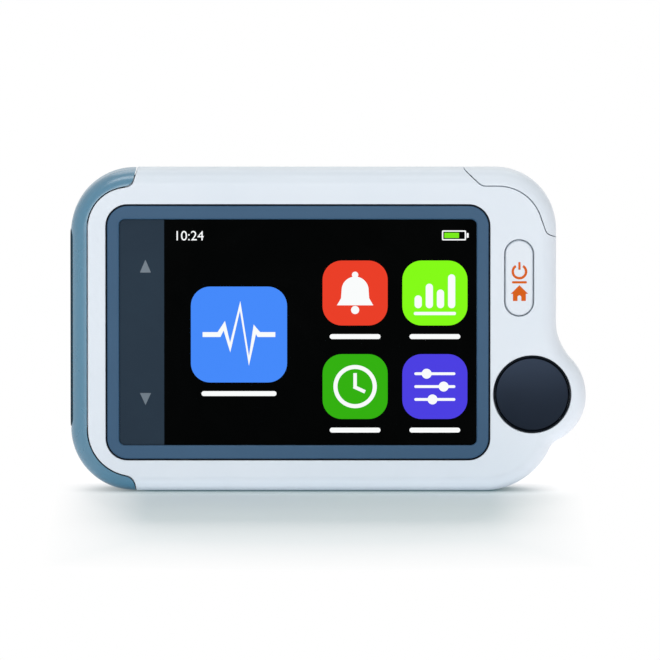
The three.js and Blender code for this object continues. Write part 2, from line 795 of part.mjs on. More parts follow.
// Ribbon from the display round the lower edge of the chassis to the circuit board
function displayFlex() {
  const [left, , bottom] = lcdOutline(trayOverlap);
  const low = bottom - lcdSideGap - flexThickness;
  const front = lcdBackY + trayWall;
  const back = boardFrontY - flexThickness;
  const start = left + flexWidth;
  const stop = start + flexWidth;
  const leg = block(start, stop, front, back, low, low + flexThickness);
  const foot = block(start, stop, back, boardFrontY, low, low + flexWidth / 2);
  return leg.add(foot);
}

// Chassis plate with windows, notches for the bosses and two standoffs
function midFrame() {
  const outline = roundedBox(chassisLeft, chassisRight, chassisLow, chassisHigh, bezelRadius - chassisMargin);
  const plate = prism(outline, chassisFrontY, chassisBackY);
  const standoffs = boardScrewPlaces().map(([x, z]) => (
    column(x, z, standoffRadius, chassisBackY, boardFrontY, smallSides)));
  const notches = bossPlaces().map(([x, z]) => (
    column(x, z, bossRadius + bossNotchGap, chassisFrontY - overrun, boardBackY, smallSides)));
  const holes = boardScrewPlaces().map(([x, z]) => (
    column(x, z, boardScrewHole, chassisFrontY - overrun, boardBackY, smallSides)));
  const [lcdLeft, , lcdLow] = lcdOutline(trayOverlap);
  const flexStart = lcdLeft + flexWidth - bossNotchGap;
  const flexStop = lcdLeft + flexWidth + flexWidth + bossNotchGap;
  const slotLow = chassisLow - overrun;
  const flexSlot = block(flexStart, flexStop, chassisFrontY - overrun, boardFrontY, slotLow, lcdLow);
  return join([plate, ...standoffs]).subtract(join([flexSlot, ...notches, ...holes, ...chassisWindows()]));
}

// Round-cornered windows that lighten the chassis, side by side between its rails
function chassisWindows() {
  const windows = [];
  const [low, high] = [chassisLow + chassisRail, chassisHigh - chassisRail];
  const pitch = (chassisRight - chassisLeft - chassisSpoke) / chassisWindowCount;
  for (let place = 0; place < chassisWindowCount; place += 1) {
    const left = chassisLeft + chassisSpoke + place * pitch;
    const outline = roundedBox(left, left + pitch - chassisSpoke, low, high, standoffRadius);
    windows.push(prism(outline, chassisFrontY - overrun, boardFrontY));
  }
  return windows;
}

// Places of the two screws that hold the board to the chassis
function boardScrewPlaces() {
  const z = chassisHigh - boardScrewFromTop;
  return [[chassisLeft + boardScrewFromEnd, z], [chassisRight - boardScrewFromEnd, z]];
}

// Circuit board, which follows the inside of the housing
function mainBoard() {
  const notches = bossPlaces().map(([x, z]) => (
    column(x, z, bossRadius + bossNotchGap, boardFrontY - overrun, boardBackY + overrun, smallSides)));
  const holes = boardScrewPlaces().map(([x, z]) => (
    column(x, z, boardScrewHole, boardFrontY - overrun, boardBackY + overrun, smallSides)));
  return hollow(boardMargin).intersect(slab(boardFrontY, boardBackY)).subtract(join([...notches, ...holes]));
}

function shieldCan() {
  const outer = squareBlock(canX, canZ, canWidth, boardBackY, boardBackY + canHeight);
  const inner = squareBlock(canX, canZ, canWidth - canWall - canWall, boardBackY - overrun,
    boardBackY + canHeight - canWall);
  return outer.subtract(inner);
}

// Home key: cap, retaining flange and the post that meets the switch
function homeKey() {
  const flangeBackY = keyFlangeY + keyFlangeThickness;
  const cap = softPrism(keyOutline(0), frontY, flangeBackY, keyChamfer, keyChamfer, bevelSteps);
  const flange = prism(keyOutline(keyFlange), keyFlangeY, flangeBackY);
  const post = column(keyX, keyZ, keyPostRadius, keyFlangeY, plungerFrontY - plungerGap, smallSides);
  return join([cap, flange, post]);
}

function buttonSwitch() {
  const body = squareBlock(keyX, keyZ, switchWidth, switchFrontY, boardFrontY);
  const bore = column(keyX, keyZ, plungerRadius + plungerFit, switchFrontY - overrun,
    plungerFrontY + plungerLength + keyTravel + keyTravel, smallSides);
  return body.subtract(bore);
}

function switchPlunger() {
  return column(keyX, keyZ, plungerRadius, plungerFrontY, plungerFrontY + plungerLength, smallSides);
}

// Thumb electrode: a shallow dome with a stem, in a dark ring
function thumbElectrode() {
  const radius = thumbRingRadius - thumbRingWidth - thumbSeam;
  const rimY = frontY + thumbDome;
  const profile = [[0, frontY]];
  for (let step = 1; step <= edgeSteps; step += 1) {
    const share = step / edgeSteps;
    profile.push([radius * share, frontY + (rimY - frontY) * share ** 2]);
  }
  profile.push([radius, thumbFloorY]);
  profile.push([thumbStemRadius, thumbFloorY]);
  profile.push([thumbStemRadius, thumbFloorY + thumbStemLength]);
  profile.push([0, thumbFloorY + thumbStemLength]);
  return turned(lobeX, lobeRise, profile);
}

function thumbRing() {
  const inner = thumbRingRadius - thumbRingWidth;
  const top = frontY + thumbRingSetback;
  return turned(lobeX, lobeRise, [
    [inner, top],
    [thumbRingRadius, top],
    [thumbRingRadius, thumbFloorY],
    [inner, thumbFloorY],
    [inner, top],
  ]);
}

// Z-shaped spring strip between two depths, with its feet along X
function springStrip(x, z, yFront, yBack) {
  const half = contactThickness / 2;
  const right = x + contactReach;
  const points = [
    new THREE.Vector2(x - half, -yFront),
    new THREE.Vector2(x - half, -yBack),
    new THREE.Vector2(right, -yBack),
    new THREE.Vector2(right, contactThickness - yBack),
    new THREE.Vector2(x + half, contactThickness - yBack),
    new THREE.Vector2(x + half, -yFront - contactThickness),
    new THREE.Vector2(x + contactWidth, -yFront - contactThickness),
    new THREE.Vector2(x + contactWidth, -yFront),
  ];
  return upright(points, z - contactWidth / 2, z + contactWidth / 2);
}

function thumbContact() {
  return springStrip(lobeX, lobeRise, thumbFloorY + thumbStemLength + contactGap, boardFrontY);
}

function backContact() {
  const plateFloor = backY - backPlateSetback - backPlateThickness;
  return springStrip(backStemX, lobeRise, boardBackY, plateFloor - backStemLength - contactGap);
}

function sideContact() {
  const x = leftX + sideStemReach + contactGap;
  const low = sideElectrodeZ - contactWidth / 2;
  const high = sideElectrodeZ + contactWidth / 2;
  const leg = block(x, x + contactThickness, boardBackY, sideStemBack + sideStemRadius, low, high);
  const foot = block(x, x + contactWidth, boardBackY, boardBackY + contactThickness, low, high);
  return leg.add(foot);
}

function backElectrode() {
  const outer = backY - backPlateSetback;
  const inner = outer - backPlateThickness;
  const plate = softPrism(backPlateOutline(0), inner, outer, backPlateBevel, backPlateBevel, bevelSteps);
  const root = outer - backPlateThickness / 2;
  return plate.add(column(backStemX, lobeRise, backStemRadius, inner - backStemLength, root, smallSides));
}

// Oximeter window: a disc with a flange behind the wall of the cradle
function oximeterWindow() {
  const face = cradleFloorY - backPlateSetback;
  const step = face - windowThickness - windowSeam;
  const flange = windowRadius + windowFlange;
  return turned(cradleX, cradleZ, [
    [0, step - windowFlangeThickness],
    [flange, step - windowFlangeThickness],
    [flange, step],
    [windowRadius, step],
    [windowRadius, face],
    [0, face],
  ]);
}

function oximeterSensor() {
  const step = cradleFloorY - backPlateSetback - windowThickness - windowSeam - windowFlangeThickness;
  return squareBlock(cradleX, cradleZ, sensorWidth, boardBackY, step - sensorGap);
}

function battery() {
  const back = innerBackY - padThickness;
  return softPrism(batteryOutline(0), back - batteryThickness, back, sharpestEdge, sharpestEdge, bevelSteps);
}

function batteryPad() {
  return prism(batteryOutline(-padInset), innerBackY - padThickness, innerBackY);
}

function speaker() {
  const back = innerBackY - meshThickness;
  const front = back - speakerThickness;
  const step = speakerRadius - speakerRingWall;
  return turned(speakerX, speakerRise, [
    [0, front],
    [step, front],
    [step, front + speakerRingWall],
    [speakerRadius, front + speakerRingWall],
    [speakerRadius, back],
    [0, back],
  ]);
}

function speakerMesh() {
  return column(speakerX, speakerRise, speakerRadius, innerBackY - meshThickness, innerBackY);
}

function dataSocket() {
  const top = socketSetback + socketLength;
  return socketBlock(0, socketSetback, top).subtract(socketBlock(-socketWall, -overrun, top - socketFloor));
}

function socketTongue() {
  const middleY = boardBackY + socketHeight / 2;
  const half = tongueWidth / 2;
  return block(socketX - half, socketX + half, middleY - tongueThickness / 2, middleY + tongueThickness / 2,
    socketSetback + tongueSetback, socketSetback + socketLength - socketFloor);
}

// Pan-head screw along the depth, with the top of its head towards the back
function screw(topY, headRadius, headThickness, shankRadius, grip) {
  const seat = topY - headThickness;
  return turned(0, 0, [
    [0, seat - grip],
    [shankRadius, seat - grip],
    [shankRadius, seat],
    [headRadius, seat],
    [headRadius, topY],
    [0, topY],
  ], smallSides);
}

// Finishes: colour, roughness and metalness of each kind of surface
const finishes = {
  whiteShell: [0xdee7f0, 0.42, 0],
  grip: [0x5e88a0, 0.5, 0],
  bezel: [0x405e7a, 0.4, 0],
  glass: [0x05070a, 0.12, 0],
  electrode: [0x263442, 0.35, 0.6],
  darkRing: [0x101820, 0.6, 0],
  foam: [0x1c1e20, 0.9, 0],
  steel: [0xb4b8bc, 0.35, 1],
  tray: [0xc8ccd0, 0.4, 0.9],
  copperFlex: [0xb5762e, 0.5, 0.2],
  chassis: [0x9ea3a8, 0.45, 0.8],
  board: [0x1f5a38, 0.55, 0],
  chip: [0x17181a, 0.5, 0],
  battery: [0xb9c2cc, 0.5, 0.2],
  gold: [0xc9a24a, 0.35, 1],
};

const monitor = new THREE.Group();

function addPiece(name, piece, finish, position = [0, 0, 0]) {
  const { numProp, vertProperties, triVerts } = piece.getMesh();
  const geometry = new THREE.BufferGeometry();
  geometry.setAttribute('position', new THREE.BufferAttribute(new Float32Array(vertProperties), numProp));
  geometry.setIndex(new THREE.BufferAttribute(new Uint32Array(triVerts), 1));
  const [color, roughness, metalness] = finishes[finish];
  const material = new THREE.MeshStandardMaterial({ color, roughness, metalness, flatShading: true });
  const mesh = new THREE.Mesh(geometry, material);
  mesh.name = name;
  mesh.position.set(...position);
  monitor.add(mesh);
}

addPiece('front_cover', frontCover(), 'whiteShell');
addPiece('rear_cover', rearCover(), 'whiteShell');
addPiece('grip_band', gripBand(), 'grip');
addPiece('corner_cover', cornerCover(), 'whiteShell');
addPiece('display_bezel', displayBezel(), 'bezel');
addPiece('touch_panel', prism(bezelOpening(-panelSeam), panelFrontY, panelBackY), 'glass');
addPiece('panel_gasket', panelGasket(), 'foam');
addPiece('lcd_panel', lcdBlock(0, lcdFrontY, lcdBackY), 'glass');
addPiece('backlight_tray', backlightTray(), 'tray');
addPiece('display_flex', displayFlex(), 'copperFlex');
addPiece('mid_frame', midFrame(), 'chassis');
addPiece('main_board', mainBoard(), 'board');
addPiece('processor', squareBlock(canX, canZ, processorWidth, boardBackY, processorBackY), 'chip');
addPiece('shield_can', shieldCan(), 'tray');
addPiece('analogue_chip', squareBlock(analogueX, analogueZ, analogueWidth, boardBackY, chipBackY), 'chip');
addPiece('flash_chip', squareBlock(flashX, flashZ, flashWidth, boardBackY, chipBackY), 'chip');
addPiece('home_button', homeKey(), 'whiteShell');
addPiece('button_switch', buttonSwitch(), 'chip');
addPiece('switch_plunger', switchPlunger(), 'foam');
addPiece('thumb_electrode', thumbElectrode(), 'electrode');
addPiece('thumb_ring', thumbRing(), 'darkRing');
addPiece('thumb_contact', thumbContact(), 'gold');
addPiece('left_electrode', sideElectrode(), 'electrode');
addPiece('left_contact', sideContact(), 'gold');
addPiece('back_electrode', backElectrode(), 'electrode');
addPiece('back_contact', backContact(), 'gold');
addPiece('oximeter_window', oximeterWindow(), 'glass');
addPiece('oximeter_sensor', oximeterSensor(), 'chip');
addPiece('battery', battery(), 'battery');
addPiece('battery_pad', batteryPad(), 'foam');
addPiece('speaker', speaker(), 'chip');
addPiece('speaker_mesh', speakerMesh(), 'foam');
addPiece('data_socket', dataSocket(), 'steel');
addPiece('socket_tongue', socketTongue(), 'chip');

const housingScrew = screw(headBackY, screwHeadRadius, screwHeadThickness, screwShankRadius, screwGrip);
bossPlaces().forEach(([x, z], index) => {
  addPiece(`housing_screw_${index + 1}`, housingScrew, 'steel', [x, 0, z]);
});

const boardScrew = screw(boardBackY + boardScrewHeadThickness, boardScrewHead, boardScrewHeadThickness,
  boardScrewShank, boardScrewGrip);
boardScrewPlaces().forEach(([x, z], index) => {
  addPiece(`board_screw_${index + 1}`, boardScrew, 'steel', [x, 0, z]);
});

export default monitor;
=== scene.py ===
# %% [markdown]
# # A pocket heart monitor, dressed for the camera
# The monitor is about 88 mm long: a white moulded housing with a round lobe for the thumb,
# a blue-grey band over its left end, a display in a slate-blue bezel and one key. The packed
# model is loaded first and stays as it is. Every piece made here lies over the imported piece
# that it stands for, and rides on the same body.

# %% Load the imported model
import json
import math
from functools import partial

import bmesh
import bpy
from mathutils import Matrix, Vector
from mathutils.bvhtree import BVHTree
from mathutils.interpolate import poly_3d_calc

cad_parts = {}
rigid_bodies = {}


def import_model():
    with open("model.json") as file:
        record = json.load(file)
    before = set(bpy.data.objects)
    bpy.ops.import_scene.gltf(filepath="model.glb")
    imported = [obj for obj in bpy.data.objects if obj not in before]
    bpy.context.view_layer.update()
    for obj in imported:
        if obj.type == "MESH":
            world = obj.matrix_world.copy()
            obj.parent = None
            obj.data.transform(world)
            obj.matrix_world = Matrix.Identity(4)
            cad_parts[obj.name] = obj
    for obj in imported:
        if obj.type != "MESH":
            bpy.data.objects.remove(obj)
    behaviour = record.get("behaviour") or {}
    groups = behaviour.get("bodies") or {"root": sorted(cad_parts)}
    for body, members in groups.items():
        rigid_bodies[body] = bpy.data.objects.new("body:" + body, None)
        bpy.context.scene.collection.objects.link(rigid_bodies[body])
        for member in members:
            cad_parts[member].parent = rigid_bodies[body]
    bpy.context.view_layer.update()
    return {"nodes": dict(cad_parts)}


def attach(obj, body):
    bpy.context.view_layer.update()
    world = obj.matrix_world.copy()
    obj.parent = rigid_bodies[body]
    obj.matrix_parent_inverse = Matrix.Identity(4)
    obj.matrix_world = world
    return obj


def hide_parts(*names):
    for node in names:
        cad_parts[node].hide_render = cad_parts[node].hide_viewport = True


for leftover in list(bpy.data.objects):
    bpy.data.objects.remove(leftover)

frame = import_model()
print("packed nodes:", len(frame["nodes"]))

# %% [markdown]
# ## Drawing in millimetres
# The housing is drawn as a designer draws it, by outlines in the front view and depths behind
# them. An outline is a list of points (x, z), and a depth is y, where the display looks along
# minus y. All sizes are in millimetres, and they turn into metres only when a mesh is made.
# The housing's outline has arcs with fixed centres. To draw it in by an inset, only the radii
# change, so every inset has the same number of points and two of them can always be joined.

# %% Outline of the housing
MM = 0.001
LEFT, RIGHT, HIGH = -43.95, 38.9, 55.0
FRONT, BACK = -6.5, 6.5
PARTING_FRONT, PARTING_BACK = 0.52, 0.68
LOBE_X, LOBE_Z, LOBE_RADIUS = 35.6, 16.2, 8.4
UPPER_FILLET, LOWER_FILLET = 10.0, 3.0
CORNER = {"bottom_right": 12.3, "top_right": 10.4, "top_left": 10.9, "bottom_left": 10.8}
ARC_STEP = 3.0


def arc(x, z, radius, start, stop, step=ARC_STEP):
    """Points of one arc, from one angle to another in degrees."""
    count = max(2, math.ceil(abs(stop - start) / step - 0.001))
    turns = [math.radians(start + (stop - start) * i / count) for i in range(count + 1)]
    return [(x + radius * math.cos(a), z + radius * math.sin(a)) for a in turns]


def angle_of(vector):
    return math.degrees(math.atan2(vector.y, vector.x))


def housing_arcs():
    """The arcs of the outline, anticlockwise: centre, radius, bend (1 out, -1 in), angles."""
    r = CORNER
    corner = Vector((RIGHT - r["bottom_right"], r["bottom_right"]))
    lobe = Vector((LOBE_X, LOBE_Z))
    near, far = r["bottom_right"] + LOWER_FILLET, LOBE_RADIUS + LOWER_FILLET
    link = lobe - corner
    along = (near ** 2 - far ** 2 + link.length ** 2) / (2 * link.length)
    unit = link.normalized()
    lower = corner + unit * along + Vector((unit.y, -unit.x)) * math.sqrt(near ** 2 - along ** 2)
    upper_x = RIGHT + UPPER_FILLET
    rise = math.sqrt((LOBE_RADIUS + UPPER_FILLET) ** 2 - (upper_x - LOBE_X) ** 2)
    upper = Vector((upper_x, LOBE_Z + rise))
    first, second = angle_of(lower - corner), angle_of(lower - lobe)
    last = angle_of(upper - lobe)
    return [
        (corner, r["bottom_right"], 1, -90, first),
        (lower, LOWER_FILLET, -1, first + 180, second + 180),
        (lobe, LOBE_RADIUS, 1, second, last),
        (upper, UPPER_FILLET, -1, last + 180, 180),
        (Vector((RIGHT - r["top_right"], HIGH - r["top_right"])), r["top_right"], 1, 0, 90),
        (Vector((LEFT + r["top_left"], HIGH - r["top_left"])), r["top_left"], 1, 90, 180),
        (Vector((LEFT + r["bottom_left"], r["bottom_left"])), r["bottom_left"], 1, 180, 270),
    ]


HOUSING_ARCS = housing_arcs()


def housing_outline(inset):
    points = []
    for centre, radius, bend, start, stop in HOUSING_ARCS:
        points += arc(centre.x, centre.y, radius - bend * inset, start, stop)
    return points


print("points in the housing outline:", len(housing_outline(0)))

# %% [markdown]
# ## Outlines with rounded corners
# The other outlines are straight lines with rounded corners: the bezel, the key, the tiles on
# the screen. `rounded` takes the sharp corners, each with its own radius, and puts an arc into
# each. A bevel modifier could round them later, but an outline that is right from the start
# also serves as a cutting tool.

# %% Rounded outlines
CORNER_STEPS, LEAST_RADIUS = 10, 0.05


def rounded(corners):
    """Outline through corners (x, z, radius), each one rounded."""
    points = []
    for i, (x, z, radius) in enumerate(corners):
        here = Vector((x, z))
        if radius <= 0:
            points.append((x, z))
            continue
        before = (Vector(corners[i - 1][:2]) - here).normalized()
        after = (Vector(corners[(i + 1) % len(corners)][:2]) - here).normalized()
        half = math.acos(max(-1, min(1, before.dot(after)))) / 2
        centre = here + (before + after).normalized() * (radius / math.sin(half))
        start = angle_of(here + before * (radius / math.tan(half)) - centre)
        turn = 180 - math.degrees(2 * half)
        side = 1 if after.cross(before) > 0 else -1
        points += arc(centre.x, centre.y, radius, start, start + side * turn, turn / CORNER_STEPS)
    return points


def box_outline(x0, x1, z0, z1, radius, grow=0.0):
    """Rounded rectangle, grown on every side."""
    x0, x1, z0, z1 = x0 - grow, x1 + grow, z0 - grow, z1 + grow
    radius = max(radius + grow, LEAST_RADIUS)
    return rounded([(x0, z0, radius), (x1, z0, radius), (x1, z1, radius), (x0, z1, radius)])


def centred_box(x, z, half_width, half_height, radius, grow=0.0):
    """Rounded rectangle about its middle."""
    return box_outline(x - half_width, x + half_width, z - half_height, z + half_height, radius, grow)


def disc_outline(x, z, radius, count=96):
    return arc(x, z, radius, 0, 360 - 360 / count, 360 / count)


print("points in a rounded box:", len(box_outline(0, 10, 0, 10, 2)))

# %% [markdown]
# ## From outlines to closed meshes
# A loft joins a row of outlines with the same number of points, each at its own depth, and
# closes both ends. That gives a clean, closed mesh, which booleans need. `pebble` is the
# housing's own form: its outline, drawn in along a quarter of an ellipse at the front and the
# back edge. `plug` is a straight piece whose ends are rounded, or flared when it is a cutter,
# so that what it cuts gets a soft edge as a moulding has.

# %% Lofts, pebbles and plugs
EDGE_STEPS = 14
FRONT_EDGE, BACK_EDGE, LEAST_EDGE = (2.8, 3.5), (3.2, 4.0), 0.4
SAME_POINT = 1e-7


def linked(name, data):
    """New object in the scene."""
    thing = bpy.data.objects.new(name, data)
    bpy.context.scene.collection.objects.link(thing)
    return thing


def piece(name, vertices, faces):
    """Closed mesh from points in millimetres."""
    mesh = bpy.data.meshes.new(name)
    mesh.from_pydata([tuple(c * MM for c in v) for v in vertices], [], faces)
    bm = bmesh.new()
    bm.from_mesh(mesh)
    bmesh.ops.remove_doubles(bm, verts=bm.verts, dist=SAME_POINT)
    bmesh.ops.recalc_face_normals(bm, faces=bm.faces)
    bm.to_mesh(mesh)
    bm.free()
    return linked(name, mesh)


def from_front(x, z, depth):
    return x, depth, z


def from_below(x, y, depth):
    return x, y, depth


def from_left(y, z, depth):
    return depth, y, z


def loft(name, rings, place=from_front):
    """Joins outlines (points, depth) into a closed piece, seen from one side."""
    count = len(rings[0][0])
    vertices = [place(a, b, depth) for points, depth in rings for a, b in points]
    faces = []
    for ring in range(len(rings) - 1):
        low, high = ring * count, (ring + 1) * count
        for i in range(count):
            j = (i + 1) % count
            faces.append((low + i, low + j, high + j, high + i))
    faces.append(tuple(range(count - 1, -1, -1)))
    faces.append(tuple(range(len(vertices) - count, len(vertices))))
    return piece(name, vertices, faces)


def quarter(across, deep, steps=EDGE_STEPS):
    """Quarter of an ellipse, as insets and depths from the face to the side."""
    turns = [math.pi / 2 * i / steps for i in range(steps + 1)]
    return [(across * (1 - math.sin(a)), deep * (1 - math.cos(a))) for a in turns]


def face_rings(edge, inset, face, side):
    """Outlines of the housing from its flat face to its side, going in by the sign of side."""
    wide, deep = (max(v - inset, LEAST_EDGE) for v in edge)
    return [(housing_outline(inset + i), face + side * (inset + d)) for i, d in quarter(wide, deep)]


def pebble(name, inset=0.0):
    """The housing's form, drawn in on every side."""
    rear = face_rings(BACK_EDGE, inset, BACK, -1)
    return loft(name, face_rings(FRONT_EDGE, inset, FRONT, 1) + rear[::-1])


def plug(name, shape, start, stop, first=0.0, last=0.0, steps=5, place=from_front):
    """Straight piece between two depths. A minus rounds an end, and a plus flares it."""
    rings = []
    for end, inward, size in ((start, 1, first), (stop, -1, last)):
        bend = quarter(abs(size), abs(size), steps) if size else [(0, 0)]
        part = [(shape(math.copysign(i, size)), end + inward * d) for i, d in bend]
        if size > 0:
            part.insert(0, (shape(size), end - inward))
        rings += part if inward > 0 else part[::-1]
    return loft(name, rings, place)


print("points along one rounded edge:", EDGE_STEPS + 1)

# %% [markdown]
# ## Cutting and joining
# The real housing is moulded in one shot with its openings, and a boolean gives the same
# result: a solid minus a tool. The tool is deleted afterwards. Faces that meet at a shallow
# angle are then shaded as one surface, and a weighted normal keeps the large flat faces flat.

# %% Booleans and smooth shading
SHARP_ANGLE, LEAST_RING = 32, 0.01


def settled(thing):
    """The mesh with its modifiers applied."""
    view = bpy.context.evaluated_depsgraph_get()
    return bpy.data.meshes.new_from_object(thing.evaluated_get(view))


def combine(target, tool, operation):
    cut = target.modifiers.new("cut", "BOOLEAN")
    cut.operation, cut.object, cut.solver = operation, tool, "MANIFOLD"
    mesh, old = settled(target), target.data
    target.modifiers.clear()
    target.data = mesh
    bpy.data.meshes.remove(old)
    mesh.name = target.name
    bpy.data.objects.remove(tool)


def carve(target, *tools):
    for tool in tools:
        combine(target, tool, "DIFFERENCE")
    return target


def weld(target, *others):
    for other in others:
        combine(target, other, "UNION")
    return target


def keep(target, tool):
    combine(target, tool, "INTERSECT")
    return target


def soften(thing):
    """Smooth shading, apart from sharp edges."""
    thing.data.shade_smooth()
    thing.data.set_sharp_from_angle(angle=math.radians(SHARP_ANGLE))
    thing.modifiers.new("even shading", "WEIGHTED_NORMAL").keep_sharp = True
    return thing


def finish(*things):
    for thing in things:
        print(soften(thing).name, "faces:", len(thing.data.polygons))


def turned(name, x, z, profile, count=96):
    """Solid of revolution about the depth axis, from points (radius, y) off the axis."""
    rings = [(disc_outline(x, z, max(radius, LEAST_RING), count), y) for radius, y in profile]
    return loft(name, rings)


def plate(name, points, start, stop, place=from_front):
    """Straight piece with sharp edges between two depths."""
    return loft(name, [(points, start), (points, stop)], place)


def rod(name, x, z, radius, start, stop, count=48, place=from_front):
    return plate(name, disc_outline(x, z, radius, count), start, stop, place)


print("tools for cutting are ready")

# %% [markdown]
# ## The front half of the housing
# The housing is two white mouldings that meet behind the middle of the side. The front one
# carries the display, the key and the thumb electrode. It is lofted from its face to the
# parting line, where its edge is rounded too, so that the seam reads as a thin dark line with
# a soft edge on each side. Then it is hollowed, and its openings are cut.

# %% Where the band and the corner piece lie
SKIN, SEAM, SEAM_INSET = 1.2, 0.15, 2.65
GRIP_SEAM, GRIP_INSET, BAND_SUNK, GRIP_STRAIGHT = 0.2, 2.8, 0.07, (11.0, 46.0)
GRIP_TOP, TOP_INSET, TOP_RADIUS = 11.9, 2.8, 7.1
TOP_SLANT, TOP_LIFT, TOP_ROUND = 1.5, 0.3, 1.5
GRIP_BOTTOM, BOTTOM_INSET, BOTTOM_RADIUS = 11.5, 2.5, 8.1
BOTTOM_SLANT, BOTTOM_LIFT, BOTTOM_ROUND = 0.85, -0.2, 1.9
CAP_START, CAP_RUN, CAP_ROUND = 15.9, 3.3, 1.8
CAP_SHIFT, CAP_LEG, CAP_FOOT, CAP_SLOPE, CAP_END_ROUND = 0.45, 7.93, (1.58, 10.86), 0.4, 1.5
FAR, SEAM_POINTS, TIP_ROOM = 2.0, 24, 4


def seam_arc(x, z, radius, start, stop):
    """Corners along an arc of a seam, which `rounded` passes on as they are."""
    step = abs(stop - start) / SEAM_POINTS
    return [(px, pz, 0) for px, pz in arc(x, z, radius, start, stop, step)][:SEAM_POINTS + 1]


def grip_area(grow):
    """The band follows both left corners, and its ends are cut at a slant with a rounded tip."""
    out = FAR + grow
    top, bottom = LEFT + GRIP_TOP + grow, LEFT + GRIP_BOTTOM + grow
    upper, lower = LEFT + GRIP_INSET + TOP_RADIUS, LEFT + GRIP_INSET + BOTTOM_RADIUS
    low = math.degrees(math.acos((bottom - BOTTOM_SLANT - lower) / (BOTTOM_RADIUS - grow)))
    high = math.degrees(math.acos((top - TOP_SLANT - upper) / (TOP_RADIUS - grow)))
    bottom_line = seam_arc(lower, BOTTOM_INSET + BOTTOM_RADIUS, BOTTOM_RADIUS - grow, -low, -180)
    top_line = seam_arc(upper, HIGH - TOP_INSET - TOP_RADIUS, TOP_RADIUS - grow, 180, high)
    return rounded([
        (top, HIGH + out, 0), (LEFT - out, HIGH + out, 0), (LEFT - out, -out, 0), (bottom, -out, 0),
        (bottom_line[0][0], bottom_line[0][1] + BOTTOM_LIFT, BOTTOM_ROUND), *bottom_line[TIP_ROOM:],
        *top_line[:-TIP_ROOM], (top_line[-1][0], top_line[-1][1] + TOP_LIFT, TOP_ROUND),
    ])


def cap_area(grow):
    """The seam follows the corner, goes down a straight leg, and turns out to the side."""
    inset, out = SEAM_INSET + grow, FAR + grow
    start, end = RIGHT - CAP_START - grow, RIGHT + out
    centre, radius = HOUSING_ARCS[4][0] + Vector((CAP_SHIFT, 0)), HOUSING_ARCS[4][1]
    turn = math.asin((HIGH - CAP_LEG - centre.y) / (radius - SEAM_INSET))
    leg = centre + Vector((math.cos(turn), math.sin(turn))) * (radius - SEAM_INSET)
    foot = Vector((RIGHT - CAP_FOOT[0], HIGH - CAP_FOOT[1]))
    back, onward = (leg - foot).normalized(), Vector((1, -CAP_SLOPE)).normalized()
    half = math.acos(back.dot(onward)) / 2
    foot -= (back + onward).normalized() * (grow / math.sin(half))
    return rounded([
        (end, HIGH + out, 0), (start - out, HIGH + out, 0),
        (start + CAP_RUN, HIGH - inset, CAP_ROUND),
        *seam_arc(centre.x, centre.y, radius - inset, 90, math.degrees(turn)),
        (foot.x, foot.y, CAP_END_ROUND), (end, foot.y - CAP_SLOPE * (end - foot.x), 0),
    ])


print("points round the band's area:", len(grip_area(0)))

# %% Outlines of the openings
BEZEL = (-37.66, 27.36, 5.67, 48.89, 3.45)
BORDER_SIDE, BORDER_END, OPENING_RADIUS, BEZEL_GAP = 2.05, 2.3, 1.0, 0.3
KEY_X, KEY_Z, KEY_HALF_WIDTH, KEY_HALF_HEIGHT = 32.55, 36.588, 2.35, 6.415
THUMB_X, THUMB_Z, THUMB_RADIUS, THUMB_FLOOR = 34.8, 16.68, 6.575, -5.4
THUMB_RIM, THUMB_GAP = 0.22, 0.04
PLATE, PLATE_STEM_X = (24.6, 40.0, 11.48, 21.88, 5.2), 29.8
STRIP, STRIP_STEM = (-4.45, 3.1, 10.8, 44.9, 1.8), (1.15, 28.5)
CRADLE_X, CRADLE_Z, CRADLE_DIP = 31.4, 38.02, 1.4
CRADLE_AXES = (6.5, 3.0, 9.52)
SPEAKER_X, SPEAKER_Z = 14.5, 12.6
SOCKET_X, SOCKET_Y, SOCKET_HALF_WIDTH, SOCKET_HALF_HEIGHT = -2.45, 1.5, 4.5, 1.6
SCREW_INSET, SCREW_SEAT = 1.15, 4.9
SCREWS = [(x, z) for x in (BEZEL[0] + SCREW_INSET, BEZEL[1] - SCREW_INSET)
          for z in (BEZEL[2] + SCREW_INSET, BEZEL[3] - SCREW_INSET)]
EDGE, ROOM = 0.16, 0.2
THROUGH_FRONT, THROUGH_BACK, THROUGH_LEFT = (-7, -3), (0, 8), (-46, -39)


bezel_outline = partial(box_outline, *BEZEL)
bezel_opening = partial(
    box_outline, BEZEL[0] + BORDER_SIDE, BEZEL[1] - BORDER_SIDE,
    BEZEL[2] + BORDER_END, BEZEL[3] - BORDER_END, OPENING_RADIUS)
key_outline = partial(centred_box, KEY_X, KEY_Z, KEY_HALF_WIDTH, KEY_HALF_HEIGHT, KEY_HALF_WIDTH)
socket_outline = partial(
    centred_box, SOCKET_X, SOCKET_Y, SOCKET_HALF_WIDTH, SOCKET_HALF_HEIGHT, SOCKET_HALF_HEIGHT)
plate_outline, strip_outline = partial(box_outline, *PLATE), partial(box_outline, *STRIP)


def thumb_outline(grow):
    return disc_outline(THUMB_X, THUMB_Z, THUMB_RADIUS + grow)


def grown(shape, by):
    """The same shape, larger on every side."""
    return lambda g: shape(by + g)


def skin_cut(area, seam):
    """Tool for the step that a thin skin piece lies in."""
    tool = plug("skin cut", grown(area, seam), FRONT, BACK, EDGE, EDGE)
    return carve(tool, pebble("lining", SKIN + SEAM))


